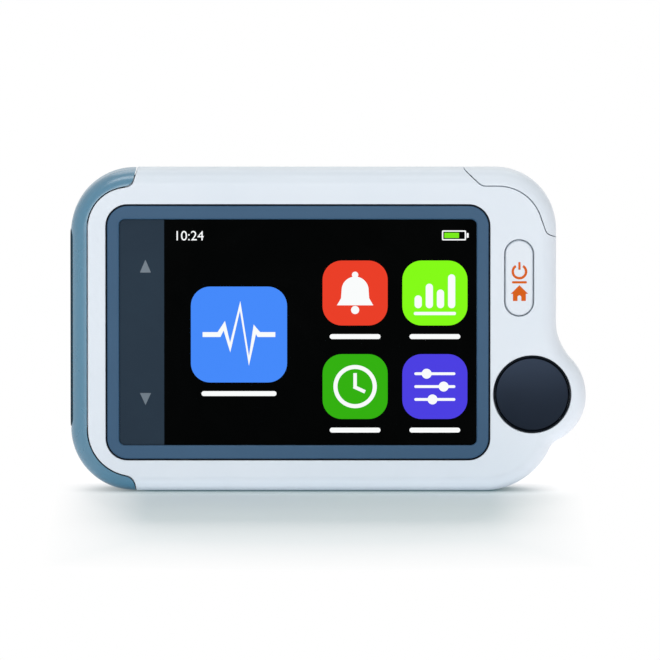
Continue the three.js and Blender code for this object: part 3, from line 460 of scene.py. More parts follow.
def shared_cuts(half):
    """Openings that both halves have: the two steps, the socket and the side electrode's stem."""
    carve(
        half,
        skin_cut(grip_area, GRIP_SEAM),
        skin_cut(cap_area, SEAM),
        plug("socket cut", grown(socket_outline, ROOM), 0, 8, EDGE, place=from_below),
        rod("stem cut", *STRIP_STEM, 1.05, *THROUGH_LEFT, place=from_left),
    )


print("screws at the back:", [tuple(round(c, 2) for c in s) for s in SCREWS])

# %% Make the front half
PARTING_EDGE, PARTING_STEPS = 0.14, 4
FRONT_HOLLOW, BEZEL_FLOOR, LEDGE = (-4.2, 2), -5.1, 1.2
THUMB_ROOM, THUMB_STEM_HOLE = 0.1, 1.8


def parting(depth, side):
    """Rounded edge at the parting line, from the side surface to the joint."""
    bend = quarter(PARTING_EDGE, PARTING_EDGE, PARTING_STEPS)[::-1]
    return [(housing_outline(i), depth - side * d) for i, d in bend]


housing_front = loft("housing_front", face_rings(FRONT_EDGE, 0, FRONT, 1) + parting(PARTING_FRONT, 1))
carve(housing_front, plate("hollow", housing_outline(SEAM_INSET), *FRONT_HOLLOW))
shared_cuts(housing_front)
carve(
    housing_front,
    plug("bezel cut", grown(bezel_outline, BEZEL_GAP), FRONT, BEZEL_FLOOR, 0.1),
    plate("display cut", bezel_opening(-LEDGE), *THROUGH_FRONT),
    plug("thumb cut", grown(thumb_outline, THUMB_ROOM), FRONT, THUMB_FLOOR, EDGE),
    rod("thumb stem cut", THUMB_X, THUMB_Z, THUMB_STEM_HOLE, *THROUGH_FRONT),
    plug("key cut", grown(key_outline, ROOM), FRONT, THROUGH_FRONT[1], EDGE),
)
finish(housing_front)

# %% [markdown]
# ## The back half, with a cradle for a finger
# The back half carries four sunk screws, the plate that the forefinger touches, a grille over
# the speaker, and a hollow that a fingertip lies in while a lamp shines through it. The hollow
# is part of an ellipsoid. It is lofted from ellipses, so that its rim can be given a soft
# edge, which a plain sphere as a tool would leave sharp.

# %% Make the back half
BACK_HOLLOW, PLATE_FLOOR = (-1, 5.0), 5.55
CRADLE_WALL, CRADLE_RIM, CRADLE_OVER, CRADLE_STEPS, CRADLE_ARC = 1.3, 0.5, 1.0, 24, 3
WINDOW_HOLE, PLATE_STEM_HOLE, HEAD_HOLE, SHANK_HOLE = 3.0, 1.5, 2.0, 1.0
GRILLE_ROWS, HOLE_PITCH, HOLE_RADIUS, HOLE_START, HOLE_EDGE = (5, 4, 5), 1.9, 0.55, 4, 0.14


def cradle(name, grow, rim=0.0):
    """Rings of an ellipsoid under the back face, with a soft rim."""
    half_width, half_depth, half_height = (v + grow for v in CRADLE_AXES)
    middle = BACK + CRADLE_AXES[1] - CRADLE_DIP
    lowest, highest = middle - half_depth, BACK + (CRADLE_OVER if rim else 0)
    turns = [math.radians(angle) for angle in range(0, 360, CRADLE_ARC)]
    rings = []
    for i in range(CRADLE_STEPS + 1):
        y = lowest + (highest - lowest) * (1 - math.cos(math.pi / 2 * i / CRADLE_STEPS))
        size = math.sqrt(max(1 - ((y - middle) / half_depth) ** 2, 0))
        depth = max(0.0, min(rim, BACK - y))
        extra = rim - math.sqrt(rim ** 2 - (rim - depth) ** 2)
        a, b = (max(half * size + extra, LEAST_RING) for half in (half_width, half_height))
        rings.append(([(CRADLE_X + a * math.cos(t), CRADLE_Z + b * math.sin(t)) for t in turns], y))
    return loft(name, rings)


def grille_places():
    """Middles of the sound holes, row by row."""
    return [(SPEAKER_X + (i - (count - 1) / 2) * HOLE_PITCH, SPEAKER_Z + (row - 1) * HOLE_PITCH)
            for row, count in enumerate(GRILLE_ROWS) for i in range(count)]


def round_cut(x, z, radius, start, edge=EDGE):
    return plug("round cut", lambda g: disc_outline(x, z, radius + g, 64), start, BACK, 0, edge)


rear_rings = parting(PARTING_BACK, -1)[::-1] + face_rings(BACK_EDGE, 0, BACK, -1)[::-1]
housing_back = loft("housing_back", rear_rings)
carve(housing_back, plate("hollow", housing_outline(SEAM_INSET), *BACK_HOLLOW))
weld(housing_back, keep(cradle("cradle wall", CRADLE_WALL), pebble("lining", SKIN + SEAM)))
shared_cuts(housing_back)
carve(
    housing_back,
    cradle("cradle cut", 0, CRADLE_RIM),
    rod("window cut", CRADLE_X, CRADLE_Z, WINDOW_HOLE, *THROUGH_BACK, 96),
    plug("plate cut", grown(plate_outline, ROOM), PLATE_FLOOR, BACK, 0, EDGE),
    rod("plate stem cut", PLATE_STEM_X, THUMB_Z, PLATE_STEM_HOLE, *THROUGH_BACK),
)
for x, z in SCREWS:
    shank = rod("shank cut", x, z, SHANK_HOLE, *THROUGH_BACK, 32)
    carve(housing_back, round_cut(x, z, HEAD_HOLE, SCREW_SEAT), shank)
for x, z in grille_places():
    carve(housing_back, round_cut(x, z, HOLE_RADIUS, HOLE_START, HOLE_EDGE))
finish(housing_back)

# %% [markdown]
# ## The skins over the ends
# The blue-grey band and the white corner piece are thin skins that lie in steps of the
# housing, flush with it. Each is the housing's own form, kept inside its area, minus the same
# form drawn in by the skin's thickness. So the skin and the housing can't drift apart. The
# band has a slot for the metal strip, and a black strip lies in its seam along the two corners
# only, as painted shade that darkens the seam's line there.

# %% Make the band and the corner piece
# Sizes of the black strips in the seams, which are painted shade.
SEAM_SHADE_SUNK, SHADE_FIT, SEAM_SHADE_DEPTHS, BORE_DEPTHS = 0.12, 0.02, (-8, 8), (-9, 9)
SEAM_SHADE_END = 9.4


def skin(name, area, sunk=0.0):
    area_block = plug("area", area, FRONT, BACK, -EDGE, -EDGE)
    return carve(keep(pebble(name, sunk), area_block), pebble("lining", SKIN))


grip_skin = skin("grip_skin", grip_area, BAND_SUNK)
carve(grip_skin, plug("slot", grown(strip_outline, ROOM), LEFT, LEFT + 4, EDGE, place=from_left))
corner_skin = skin("corner_skin", cap_area)
# The black strip in the band's seam is painted shade: it darkens the seam along the two corners only.
seam_shade_area = plate("seam shade area", grip_area(GRIP_SEAM - SHADE_FIT), *SEAM_SHADE_DEPTHS)
grip_seam_shade = keep(pebble("grip_seam_shade", SEAM_SHADE_SUNK), seam_shade_area)
carve(
    grip_seam_shade,
    plate("shade bore", grip_area(SHADE_FIT), *BORE_DEPTHS),
    pebble("lining", SKIN),
    plate("straight part", box_outline(LEFT - 3, LEFT + 9, *GRIP_STRAIGHT, 0.1), *BORE_DEPTHS),
    plate("ends", box_outline(LEFT + SEAM_SHADE_END, LEFT + 14, -1, HIGH + 1, 0.1), *BORE_DEPTHS),
)
finish(grip_skin, corner_skin, grip_seam_shade)

# %% [markdown]
# ## Shading that a cut leaves alone
# A boolean splits a curved face into thin slivers, and their averaged normals show as faint
# creases in a highlight, where the real moulding is smooth. Finer outlines would only make
# more slivers. So each face that still lies on the uncut form takes that form's normals, and
# only the cut edges keep their own.

# %% The skins are shaded like the uncut form
ON_FORM, SAME_WAY = 0.001 * MM, 0.999


def shade_like_form(thing, inset):
    """Faces that still lie on the form take its normals, so that a cut leaves no crease."""
    form = soften(pebble("form", inset))
    source, mesh = settled(form), settled(thing)
    surface = BVHTree.FromPolygons([v.co for v in source.vertices], [p.vertices for p in source.polygons])
    normals = [Vector(corner.vector) for corner in mesh.corner_normals]
    followed = 0
    for face in mesh.polygons:
        _, direction, _, distance = surface.find_nearest(face.center)
        if distance > ON_FORM or direction.dot(face.normal) < SAME_WAY:
            continue
        followed += 1
        for corner in face.loop_indices:
            spot, _, index, _ = surface.find_nearest(mesh.vertices[mesh.loops[corner].vertex_index].co)
            below = source.polygons[index]
            shares = poly_3d_calc([source.vertices[v].co for v in below.vertices], spot)
            parts = [source.corner_normals[c].vector * share for c, share in zip(below.loop_indices, shares)]
            normals[corner] = sum(parts, Vector()).normalized()
    thing.modifiers.clear()
    thing.data = mesh
    mesh.normals_split_custom_set(normals)
    bpy.data.objects.remove(form)
    return followed


print("faces on the form:", shade_like_form(grip_skin, BAND_SUNK), shade_like_form(corner_skin, 0))

# %% [markdown]
# ## Bezel, window and key
# The bezel is a frame with soft edges, flush with the housing's face. A black ring fills the
# gap round it as painted shade, so that the gap reads as a dark line. The display window is
# one dark pane sunk 0.3 mm into the bezel. The key is a long rounded cap that stands in an oval
# opening, with a flange behind the face that stops it from falling out, and a post that
# presses the switch. The imported key is the part that moves, so the new one rides on it.

# %% Make the bezel, the window and the key
PANE, PANE_BACK, PANE_GAP = -6.2, -5.3, 0.03
GAP_SHADE_FACE, BEZEL_ROUND, OPENING_FLARE = -6.2, 0.2, 0.3
KEY_FACE, KEY_ROOT, KEY_ROUND = -6.488, -4.4, 0.42
FLANGE, FLANGE_DEPTHS, FLANGE_ROUND = 0.7, (-4.85, -4.3), 0.1
POST_RADIUS, POST_DEPTHS = 1.0, (-4.5, -2.81)

bezel_frame = plug("bezel_frame", bezel_outline, FRONT, BEZEL_FLOOR, -BEZEL_ROUND, steps=8)
carve(bezel_frame, plug("opening", bezel_opening, FRONT, -4, OPENING_FLARE, steps=8))
# The black ring in the gap round the bezel is painted shade: it makes the gap read as a dark line.
bezel_gap_shade = plug("bezel_gap_shade", grown(bezel_outline, BEZEL_GAP - SHADE_FIT), GAP_SHADE_FACE, BEZEL_FLOOR, -0.06)
carve(bezel_gap_shade, plate("shade bore", bezel_outline(SHADE_FIT), -7, -4))
display_window = plug("display_window", grown(bezel_opening, -PANE_GAP), PANE, PANE_BACK, -0.02)
home_key = plug("home_key", key_outline, KEY_FACE, KEY_ROOT, -KEY_ROUND, steps=8)
weld(
    home_key,
    plug("flange", grown(key_outline, FLANGE), *FLANGE_DEPTHS, -FLANGE_ROUND, -FLANGE_ROUND),
    rod("post", KEY_X, KEY_Z, POST_RADIUS, *POST_DEPTHS),
)
finish(bezel_frame, bezel_gap_shade, display_window, home_key)

# %% [markdown]
# ## The metal that the fingers touch
# A heart signal is read between two hands, so there are three electrodes: a domed disc for the
# right thumb in its dark ring, a long strip under the left hand, and a plate at the back. The
# disc is a solid of revolution. The strip and the plate are straight pieces with well rounded
# edges, because a sharp edge would scratch.

# %% Make the electrodes
DISC_RADIUS = THUMB_RADIUS - THUMB_RIM - THUMB_GAP
DISC_EDGE, DOME_RISE, DOME_STEPS = 0.35, 0.3, 24
DISC_STEM, DISC_END, RING_FACE = 1.5, -3.9, FRONT + 0.13
STRIP_DEPTHS, STRIP_ROUND = (LEFT - 0.02, LEFT + 1.45), 0.45
STRIP_STEM_RADIUS, STRIP_STEM_DEPTHS = 0.8, (-43.2, -39.61)
PLATE_DEPTHS, PLATE_ROUND = (5.56, 6.45), 0.35
PLATE_STEM_RADIUS, PLATE_STEM_DEPTHS = 1.2, (4.36, 5.9)


def disc_profile():
    """Dome of the thumb disc, with a rolled edge: points (radius, y)."""
    radii = [(DISC_RADIUS - DISC_EDGE) * i / DOME_STEPS for i in range(DOME_STEPS + 1)]
    dome = [(r, FRONT + DOME_RISE * (r / DISC_RADIUS) ** 2) for r in radii]
    rolled = [(DISC_RADIUS - i, dome[-1][1] + d) for i, d in quarter(DISC_EDGE, DISC_EDGE, 8)[1:]]
    return dome + rolled + [(DISC_RADIUS, THUMB_FLOOR), (DISC_STEM, THUMB_FLOOR), (DISC_STEM, DISC_END)]


thumb_disc = turned("thumb_disc", THUMB_X, THUMB_Z, disc_profile())
thumb_gasket = plug("thumb_gasket", thumb_outline, RING_FACE, THUMB_FLOOR, -0.05)
carve(thumb_gasket, plug("bore", grown(thumb_outline, -THUMB_RIM), RING_FACE, -5, 0.03))
side_strip = plug("side_strip", strip_outline, *STRIP_DEPTHS, -STRIP_ROUND, steps=8, place=from_left)
weld(side_strip, rod("stem", *STRIP_STEM, STRIP_STEM_RADIUS, *STRIP_STEM_DEPTHS, place=from_left))
back_plate = plug("back_plate", plate_outline, *PLATE_DEPTHS, 0, -PLATE_ROUND, 8)
weld(back_plate, rod("stem", PLATE_STEM_X, THUMB_Z, PLATE_STEM_RADIUS, *PLATE_STEM_DEPTHS))
finish(thumb_disc, thumb_gasket, side_strip, back_plate)

# %% [markdown]
# ## Window, screws and socket
# The finger window is a stepped disc of dark red plastic that passes only red light. Each
# screw has a pan head with a crossed recess, tapered as a driver needs it. The socket is a
# drawn steel shell with a rolled mouth round a thin tongue.

# %% Make the window, the screws and the socket
FLANGE_RADIUS, WINDOW_RADIUS, WINDOW_FACE = 3.7, 2.8, 5.045
SHANK, HEAD, HEAD_TOP, HEAD_EDGE, SCREW_END = 0.8, 1.75, 6.1, (0.55, 0.4), -2.29
ARM, ARM_TAPER = (1.05, 0.2), ((0.62, 5.3), (1.0, 6.3))
MOUTH, SHELL_END, SHELL_FLOOR, SHELL_WALL, SHELL_EDGE = 0.62, 7.58, 6.8, 0.32, 0.14

finger_window = turned("finger_window", CRADLE_X, CRADLE_Z, [
    (FLANGE_RADIUS, 2.96), (FLANGE_RADIUS, 3.55), (WINDOW_RADIUS, 3.55), (WINDOW_RADIUS, 4.92),
    (2.72, 5.0), (2.6, WINDOW_FACE), (0.5, WINDOW_FACE),
])


def screw_profile():
    """Shank, head and domed top: points (radius, y)."""
    dome = [(HEAD - i, HEAD_TOP - d) for i, d in quarter(*HEAD_EDGE, 6)]
    return [(SHANK, SCREW_END), (SHANK, SCREW_SEAT), (HEAD, SCREW_SEAT)] + dome[::-1] + [(0.3, HEAD_TOP)]


def cross_cut(x, z):
    """Tapered cross for the driver."""
    arms = [loft("arm", [(centred_box(x, z, wide * s, tall * s, LEAST_RADIUS), y) for s, y in ARM_TAPER])
            for wide, tall in (ARM, ARM[::-1])]
    return weld(*arms)


housing_screws = []
for number, (x, z) in enumerate(SCREWS, 1):
    fastener = turned(f"shell_screw_{number}", x, z, screw_profile(), 48)
    housing_screws.append(carve(fastener, cross_cut(x, z)))

socket_shell = plug("socket_shell", socket_outline, MOUTH, SHELL_END, -SHELL_EDGE, 0, 4, from_below)
bore = plug("bore", grown(socket_outline, -SHELL_WALL), MOUTH, SHELL_FLOOR, SHELL_EDGE, 0, 4, from_below)
carve(socket_shell, bore)
finish(finger_window, *housing_screws, socket_shell)

# %% [markdown]
# ## What the screen shows
# The screen shows a plain menu: a clock, a battery level, one large tile and four small ones,
# each with a simple sign. A picture could be painted on the pane, but thin solids stay sharp
# at any distance and need no image file. Each lies a few hundredths of a millimetre proud of
# the pane, and still well behind the bezel's face, so nothing is seen edge on.

# %% Tiles and their captions
LAYER, ROOTED = 0.012, 0.01
CAPTION_DROP, CAPTION_SHARE, CAPTION_HALF = 1.9, 0.78, 0.42


def layer(name, points, level):
    """Thin sheet on the pane; a higher level lies in front of a lower one."""
    return plate(name, points, PANE - LAYER * level, PANE + ROOTED)


def frame_layer(outer, inner, level):
    """Sheet with an opening."""
    return carve(layer("frame", outer, level), plate("inside", inner, PANE - 1, PANE + 1))


def merged(name, sheets):
    """Several sheets of one colour as one piece."""
    whole = sheets[0]
    weld(whole, *sheets[1:])
    whole.name = whole.data.name = name
    return whole


def bar(x, z, half_width, half_height, level=1):
    """Sheet with round ends."""
    round_end = min(half_width, half_height)
    return layer("bar", centred_box(x, z, half_width, half_height, round_end), level)


BIG, SMALL, TILE_CORNER = 8.2, 5.55, 3.3
TILES = {
    "blue": (-15.2, 26.9, BIG), "red": (4.6, 34.0, SMALL), "lime": (18.2, 34.0, SMALL),
    "green": (4.6, 18.0, SMALL), "violet": (18.2, 18.0, SMALL),
}
screen = {}


def show(thing):
    """Keeps a piece of the picture under its name."""
    screen[thing.name] = thing


for name, (x, z, half) in TILES.items():
    show(layer("tile_" + name, centred_box(x, z, half, half, TILE_CORNER), 1))
show(merged("captions", [
    bar(x, z - half - CAPTION_DROP, half * CAPTION_SHARE, CAPTION_HALF) for x, z, half in TILES.values()]))
show(layer("touch_strip", rounded([
    (-35.54, 8.04, 0.95), (-27.95, 8.04, 0), (-27.95, 46.52, 0), (-35.54, 46.52, 0.95)]), 0.5))
print("tiles:", len(TILES))

# %% Signs on the tiles
MITRE_LIMIT = 0.4


def ribbon(points, half):
    """Outline of a line with mitred bends."""
    line = [Vector(p) for p in points]
    left, right = [], []
    for i, here in enumerate(line):
        before = (here - line[i - 1]).normalized() if i else (line[1] - here).normalized()
        after = (line[i + 1] - here).normalized() if i < len(line) - 1 else before
        side = Vector((-before.y, before.x))
        across = (side + Vector((-after.y, after.x))).normalized()
        reach = min(half / max(across.dot(side), MITRE_LIMIT), half * 2)
        left.append(tuple(here + across * reach))
        right.append(tuple(here - across * reach))
    return left + right[::-1]


def dot(x, z, radius, count=32):
    return layer("dot", disc_outline(x, z, radius, count), 2)


def pulse_sign(x, z):
    beat = [(-6.2, 0), (-3.4, 0), (-2.5, 1.5), (-1.5, -2.2), (0.2, 4.9), (1.7, -4.5), (2.7, 0.9),
            (3.4, 0), (6.2, 0)]
    return [layer("line", ribbon([(x + a, z + b) for a, b in beat], 0.42), 2)]


def bell_sign(x, z):
    dome = arc(x, z + 0.5, 2.3, 0, 180, 6)
    bell = [(x + 3.1, z - 2.1), (x + 2.4, z - 0.9)] + dome + [(x - 2.4, z - 0.9), (x - 3.1, z - 2.1)]
    return [layer("bell", bell, 2), dot(x, z + 3.1, 0.55), dot(x, z - 2.9, 0.7)]


def chart_sign(x, z):
    heights = (2.2, 4.2, 3.2, 5.8)
    bars = [bar(x - 2.85 + 1.9 * i, z - 2.6 + h / 2, 0.62, h / 2, 2) for i, h in enumerate(heights)]
    return bars + [bar(x, z - 3.5, 3.6, 0.28, 2)]


def clock_sign(x, z):
    rim = frame_layer(disc_outline(x, z, 3.7), disc_outline(x, z, 3.0), 2)
    hands = [(x, z), (x, z + 2.3)], [(x - 0.25, z), (x + 1.7, z - 0.9)]
    return [rim] + [layer("hand", ribbon(points, 0.3), 2) for points in hands]


def slider_sign(x, z):
    pieces = []
    for row, knob in ((2.2, -1.4), (0, 1.5), (-2.2, -0.4)):
        pieces += [bar(x, z + row, 3.5, 0.24, 2), dot(x + knob, z + row, 0.85, 40)]
    return pieces


SIGNS = dict(zip(TILES, (pulse_sign, bell_sign, chart_sign, clock_sign, slider_sign)))
for name, draw in SIGNS.items():
    show(merged("sign_" + name, draw(*TILES[name][:2])))
print("signs:", len(SIGNS))

# %% Clock, battery level and arrows
FONT_OVER_FIGURE = 1.37


def digits(name, text, x, z, height):
    """Figures as a thin mesh, from the font that Blender has built in."""
    curve = bpy.data.curves.new(name, "FONT")
    curve.body, curve.size, curve.extrude = text, height * MM * FONT_OVER_FIGURE, LAYER * MM / 2
    source = linked(name, curve)
    bpy.context.view_layer.update()
    mesh = settled(source)
    bpy.data.objects.remove(source)
    for vertex in mesh.vertices:
        a, b, d = vertex.co
        vertex.co = (a + x * MM, (PANE - LAYER / 2) * MM - d, b + z * MM)
    mesh.name = name
    return linked(name, mesh)


show(digits("clock_digits", "10:24", -26.3, 43.0, 1.7))
cell = frame_layer(box_outline(19.4, 23.5, 43.0, 44.7, 0.2), box_outline(19.62, 23.28, 43.22, 44.48, 0.1), 1)
tip = layer("tip", box_outline(23.6, 23.95, 43.45, 44.25, 0.08), 1)
show(merged("battery_frame", [cell, tip]))
show(layer("battery_level", box_outline(19.8, 22.3, 43.4, 44.3, 0.08), 1))
up = layer("up", [(-32.08, 37.5), (-30.2, 37.5), (-31.14, 39.7)], 1)
down = layer("down", [(-32.08, 16.9), (-31.14, 14.85), (-30.2, 16.9)], 1)
show(merged("arrows", [up, down]))
print("pieces on the pane:", len(screen))

# %% [markdown]
# ## The signs on the key
# The key carries three orange prints: the sign for power, a line, and a house for the home
# screen. They are printed on the key, so they are as thin as ink and ride with the key.

# %% Print the key
PRINT_X, PRINT_ROOT = 32.6, KEY_FACE + 0.008
RING_Z, RING_OUTER, RING_INNER, RING_ARC = 37.68, 1.34, 0.92, (123, 417)

ring = arc(PRINT_X, RING_Z, RING_OUTER, *RING_ARC, 5) + arc(PRINT_X, RING_Z, RING_INNER, *RING_ARC[::-1], 5)
tick = box_outline(32.41, 32.79, 38.0, 39.3, 0.1)
line = box_outline(31.34, 33.86, 35.66, 36.04, 0.15)
house = [
    (31.5, 32.66), (32.28, 32.66), *arc(PRINT_X, 33.3, 0.32, 180, 0, 12), (32.92, 32.66), (33.7, 32.66),
    (33.7, 33.88), (34.08, 33.88), (PRINT_X, 35.36), (31.12, 33.88), (31.5, 33.88),
]
key_print = merged("key_print", [
    plate("print", points, FRONT, PRINT_ROOT) for points in (ring, tick, line, house)])
print("faces in the print:", len(key_print.data.polygons))

# %% [markdown]
# ## Which piece moves with which
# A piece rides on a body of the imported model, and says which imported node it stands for. Only
# the key and its print move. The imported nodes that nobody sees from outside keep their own
# meshes and get finishes further on.

# %% Rides, replacements and slots
DRESSED = {
    "front_cover": (housing_front, "housing", "white_shell"),
    "rear_cover": (housing_back, "housing", "white_shell"),
    "grip_band": (grip_skin, "housing", "grip"),
    "corner_cover": (corner_skin, "housing", "white_shell"),
    "display_bezel": (bezel_frame, "housing", "bezel"),
    "touch_panel": (display_window, "housing", "display_glass"),
    "home_button": (home_key, "home_key", "key"),
    "thumb_electrode": (thumb_disc, "housing", "electrode"),
    "thumb_ring": (thumb_gasket, "housing", "dark_ring"),
    "left_electrode": (side_strip, "housing", "electrode"),
    "back_electrode": (back_plate, "housing", "electrode"),
    "oximeter_window": (finger_window, "housing", "sensor_window"),
    "data_socket": (socket_shell, "housing", "steel"),
}
for number, fastener in enumerate(housing_screws, 1):
    DRESSED[f"housing_screw_{number}"] = (fastener, "housing", "steel")
for node, (thing, body, slot_name) in DRESSED.items():
    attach(thing, body)
    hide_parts(node)
for thing in screen.values():
    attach(thing, "housing")
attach(key_print, "home_key")
for thing in (bezel_gap_shade, grip_seam_shade):
    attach(thing, "housing")
print("nodes replaced:", len(DRESSED))

# %% [markdown]
# ## Effects that several finishes share
# Four effects are needed by more than one finish: the fine grain of a moulded surface, the
# faint smears of handling, the drawn lines of rolled metal, and the dots of a screen. Each is
# a node group with named inputs and outputs. A group only gives plain values, and the
# material decides what they do, so one grain serves a white plastic and a blue one.

# %% Tools for node trees


def fill(tree, node, inputs):
    """Sets each input to a value, or links it to a socket."""
    for key, value in inputs.items():
        if isinstance(value, bpy.types.NodeSocket):
            tree.links.new(value, node.inputs[key])
        else:
            node.inputs[key].default_value = value
    return node


def add(tree, kind, inputs=None, **settings):
    """Adds a node with its settings, and fills its inputs."""
    node = tree.nodes.new(kind)
    for key, value in settings.items():
        setattr(node, key, value)
    return fill(tree, node, inputs or {})


def effect(name, inputs, outputs):
    """Empty node group with named number sockets: the group, what it is given, its end node."""
    group = bpy.data.node_groups.new(name, "ShaderNodeTree")
    for label, value in inputs.items():
        socket = group.interface.new_socket(name=label, in_out="INPUT", socket_type="NodeSocketFloat")
        socket.default_value = value
    for label in outputs:
        group.interface.new_socket(name=label, in_out="OUTPUT", socket_type="NodeSocketFloat")
    return group, add(group, "NodeGroupInput").outputs, add(group, "NodeGroupOutput")


def number(tree, operation, *values):
    return add(tree, "ShaderNodeMath", dict(enumerate(values)), operation=operation).outputs[0]


def noise(tree, where, scale, detail, distortion=0.0):
    sockets = {"Vector": where, "Scale": scale, "Detail": detail, "Distortion": distortion}
    return add(tree, "ShaderNodeTexNoise", sockets).outputs["Fac"]


def spread(tree, value, low, high, to_low=0.0, to_high=1.0):
    """Maps one range of values onto another."""
    sockets = {"Value": value, "From Min": low, "From Max": high, "To Min": to_low, "To Max": to_high}
    return add(tree, "ShaderNodeMapRange", sockets).outputs["Result"]


def place(tree):
    """Place on the object, in metres."""
    return add(tree, "ShaderNodeTexCoord").outputs["Object"]


print("node tools are ready")

# %% Grain and smears
grain, given, end = effect("moulded_grain", {"Size": 9000.0, "Flow": 55.0}, ("Height", "Tone"))
where = place(grain)
fine, cloud = noise(grain, where, given["Size"], 3.0), noise(grain, where, given["Flow"], 2.0)
cells = add(grain, "ShaderNodeTexVoronoi", {"Vector": where, "Scale": given["Size"]}).outputs["Distance"]
height = number(grain, "MULTIPLY_ADD", cells, 0.5, fine)
fill(grain, end, {"Height": height, "Tone": spread(grain, cloud, 0.3, 0.7)})

smears, given, end = effect("handling", {"Size": 80.0}, ("Smear",))
bent = noise(smears, place(smears), given["Size"], 5.0, 1.4)
fill(smears, end, {"Smear": spread(smears, bent, 0.4, 0.72)})
print("groups so far:", len(bpy.data.node_groups))

# %% Drawn lines and screen dots
drawn, given, end = effect("drawn_lines", {"Size": 2600.0, "Along": 0.04}, ("Height", "Tone"))
parts = add(drawn, "ShaderNodeSeparateXYZ", {0: place(drawn)}).outputs
squeezed = number(drawn, "MULTIPLY", parts["Z"], given["Along"])
where = add(drawn, "ShaderNodeCombineXYZ", {"X": parts["X"], "Y": parts["Y"], "Z": squeezed}).outputs[0]
lines = noise(drawn, where, given["Size"], 4.0)
fill(drawn, end, {"Height": lines, "Tone": spread(drawn, lines, 0.3, 0.7)})

dots, given, end = effect("screen_dots", {"Pitch": 0.00017, "Gap": 0.1}, ("Light",))
parts = add(dots, "ShaderNodeSeparateXYZ", {0: place(dots)}).outputs
sides = []
for axis in ("X", "Z"):
    step = number(dots, "FRACT", number(dots, "DIVIDE", parts[axis], given["Pitch"]))
    from_middle = number(dots, "ABSOLUTE", number(dots, "SUBTRACT", step, 0.5))
    sides.append(spread(dots, from_middle, 0.5, 0.36))
bright = number(dots, "MULTIPLY", *sides)
dark = number(dots, "SUBTRACT", 1.0, given["Gap"])
fill(dots, end, {"Light": number(dots, "MULTIPLY_ADD", bright, given["Gap"], dark)})
print("groups so far:", len(bpy.data.node_groups))

# %% [markdown]
# ## Plastic
# The white housing is a satin moulding: its colour is almost even, a little cooler in some
# places, and its gloss changes slightly where it has been held. A coat of paint would be
# glossier than that, so there is none. The grain is only about a tenth of a millimetre wide,
# and a bump is enough for it, because no one sees its outline.

# %% Satin plastics
BUMP_DEPTH = 0.02 * MM
FACTOR, COLOUR_A, COLOUR_B, COLOUR_OUT = 0, 6, 7, 2


def shade(red, green, blue):
    """Colour as a screen gives it, 0 to 255, in the linear values that Blender uses."""
    values = [c / 255 for c in (red, green, blue)]
    return [c / 12.92 if c < 0.04045 else ((c + 0.055) / 1.055) ** 2.4 for c in values] + [1.0]


def shared(tree, group, **inputs):
    """What a shared effect gives in this material."""
    return add(tree, "ShaderNodeGroup", inputs, node_tree=group).outputs


def blank_material(name):
    material = bpy.data.materials.new(name)
    material.use_nodes = True
    tree = material.node_tree
    return material, tree, tree.nodes["Principled BSDF"]


def mix_colours(tree, amount, first, second):
    sockets = {FACTOR: amount, COLOUR_A: first, COLOUR_B: second}
    return add(tree, "ShaderNodeMix", sockets, data_type="RGBA").outputs[COLOUR_OUT]


def two_tones(tree, amount, light, dark):
    return mix_colours(tree, amount, shade(*light), shade(*dark))


def bump(tree, height, strength):
    """Normal of a surface that rises with the height."""
    sockets = {"Height": height, "Strength": strength, "Distance": BUMP_DEPTH}
    return add(tree, "ShaderNodeBump", sockets).outputs["Normal"]


def plastic(name, light, dark, rough, size=9000.0, strength=0.12, specular=0.5, metallic=0.0):
    """Moulded plastic between two close colours, with a range of roughness."""
    material, tree, surface = blank_material(name)
    texture, touched = shared(tree, grain, Size=size), shared(tree, smears)
    fill(tree, surface, {
        "Base Color": two_tones(tree, texture["Tone"], light, dark),
        "Roughness": spread(tree, touched["Smear"], 0, 1, *rough),
        "Specular IOR Level": specular, "Metallic": metallic,
        "Normal": bump(tree, texture["Height"], strength),
    })
    return material


def put(material, *things):
    for thing in things:
        thing.data.materials.clear()
        thing.data.materials.append(material)


white = plastic("white_moulding", (224, 233, 241), (220, 230, 239), (0.36, 0.44), specular=0.35)
key_white = plastic("key_moulding", (226, 234, 241), (222, 231, 239), (0.33, 0.4), 12000.0, 0.06, 0.35)
blue_grip = plastic("grip_moulding", (68, 126, 155), (64, 121, 149), (0.26, 0.32), 5200.0, 0.04, 1.0)
slate = plastic("bezel_paint", (57, 91, 121), (53, 87, 117), (0.34, 0.42), 11000.0, 0.07, 0.2)
gasket_and_shade_black = plastic("gasket_and_shade_black", (10, 20, 30), (5, 12, 22), (0.55, 0.68), 7000.0, 0.2, 0.1)
put(white, housing_front, housing_back, corner_skin)
put(key_white, home_key)
put(blue_grip, grip_skin)
put(slate, bezel_frame)
# The thumb ring is its own black rubber; the same black on the strips in the bezel's gap and the band's seam
# is painted shade.
put(gasket_and_shade_black, thumb_gasket, bezel_gap_shade, grip_seam_shade)
print("plastics:", [m.name for m in (white, key_white, blue_grip, slate, gasket_and_shade_black)])

# %% [markdown]
# ## Screen
# The pane is black and polished, with a low reflection as coated display glass has. The tiles
# give their own light, so their colour comes from Emission Color, and the dots of the screen
# show as a fine dark lattice. The touch strip gives no light: it is a print behind the pane.

# %% Pane, lit colours and prints
BETWEEN_DOTS = 0.72


def pane(name, light, dark, rough, specular=0.01):
    """Polished surface with faint smears."""
    material, tree, surface = blank_material(name)
    smear = shared(tree, smears, Size=60.0)["Smear"]
    fill(tree, surface, {
        "Base Color": two_tones(tree, smear, light, dark),
        "Roughness": spread(tree, smear, 0, 1, *rough), "Specular IOR Level": specular,
    })
    return material


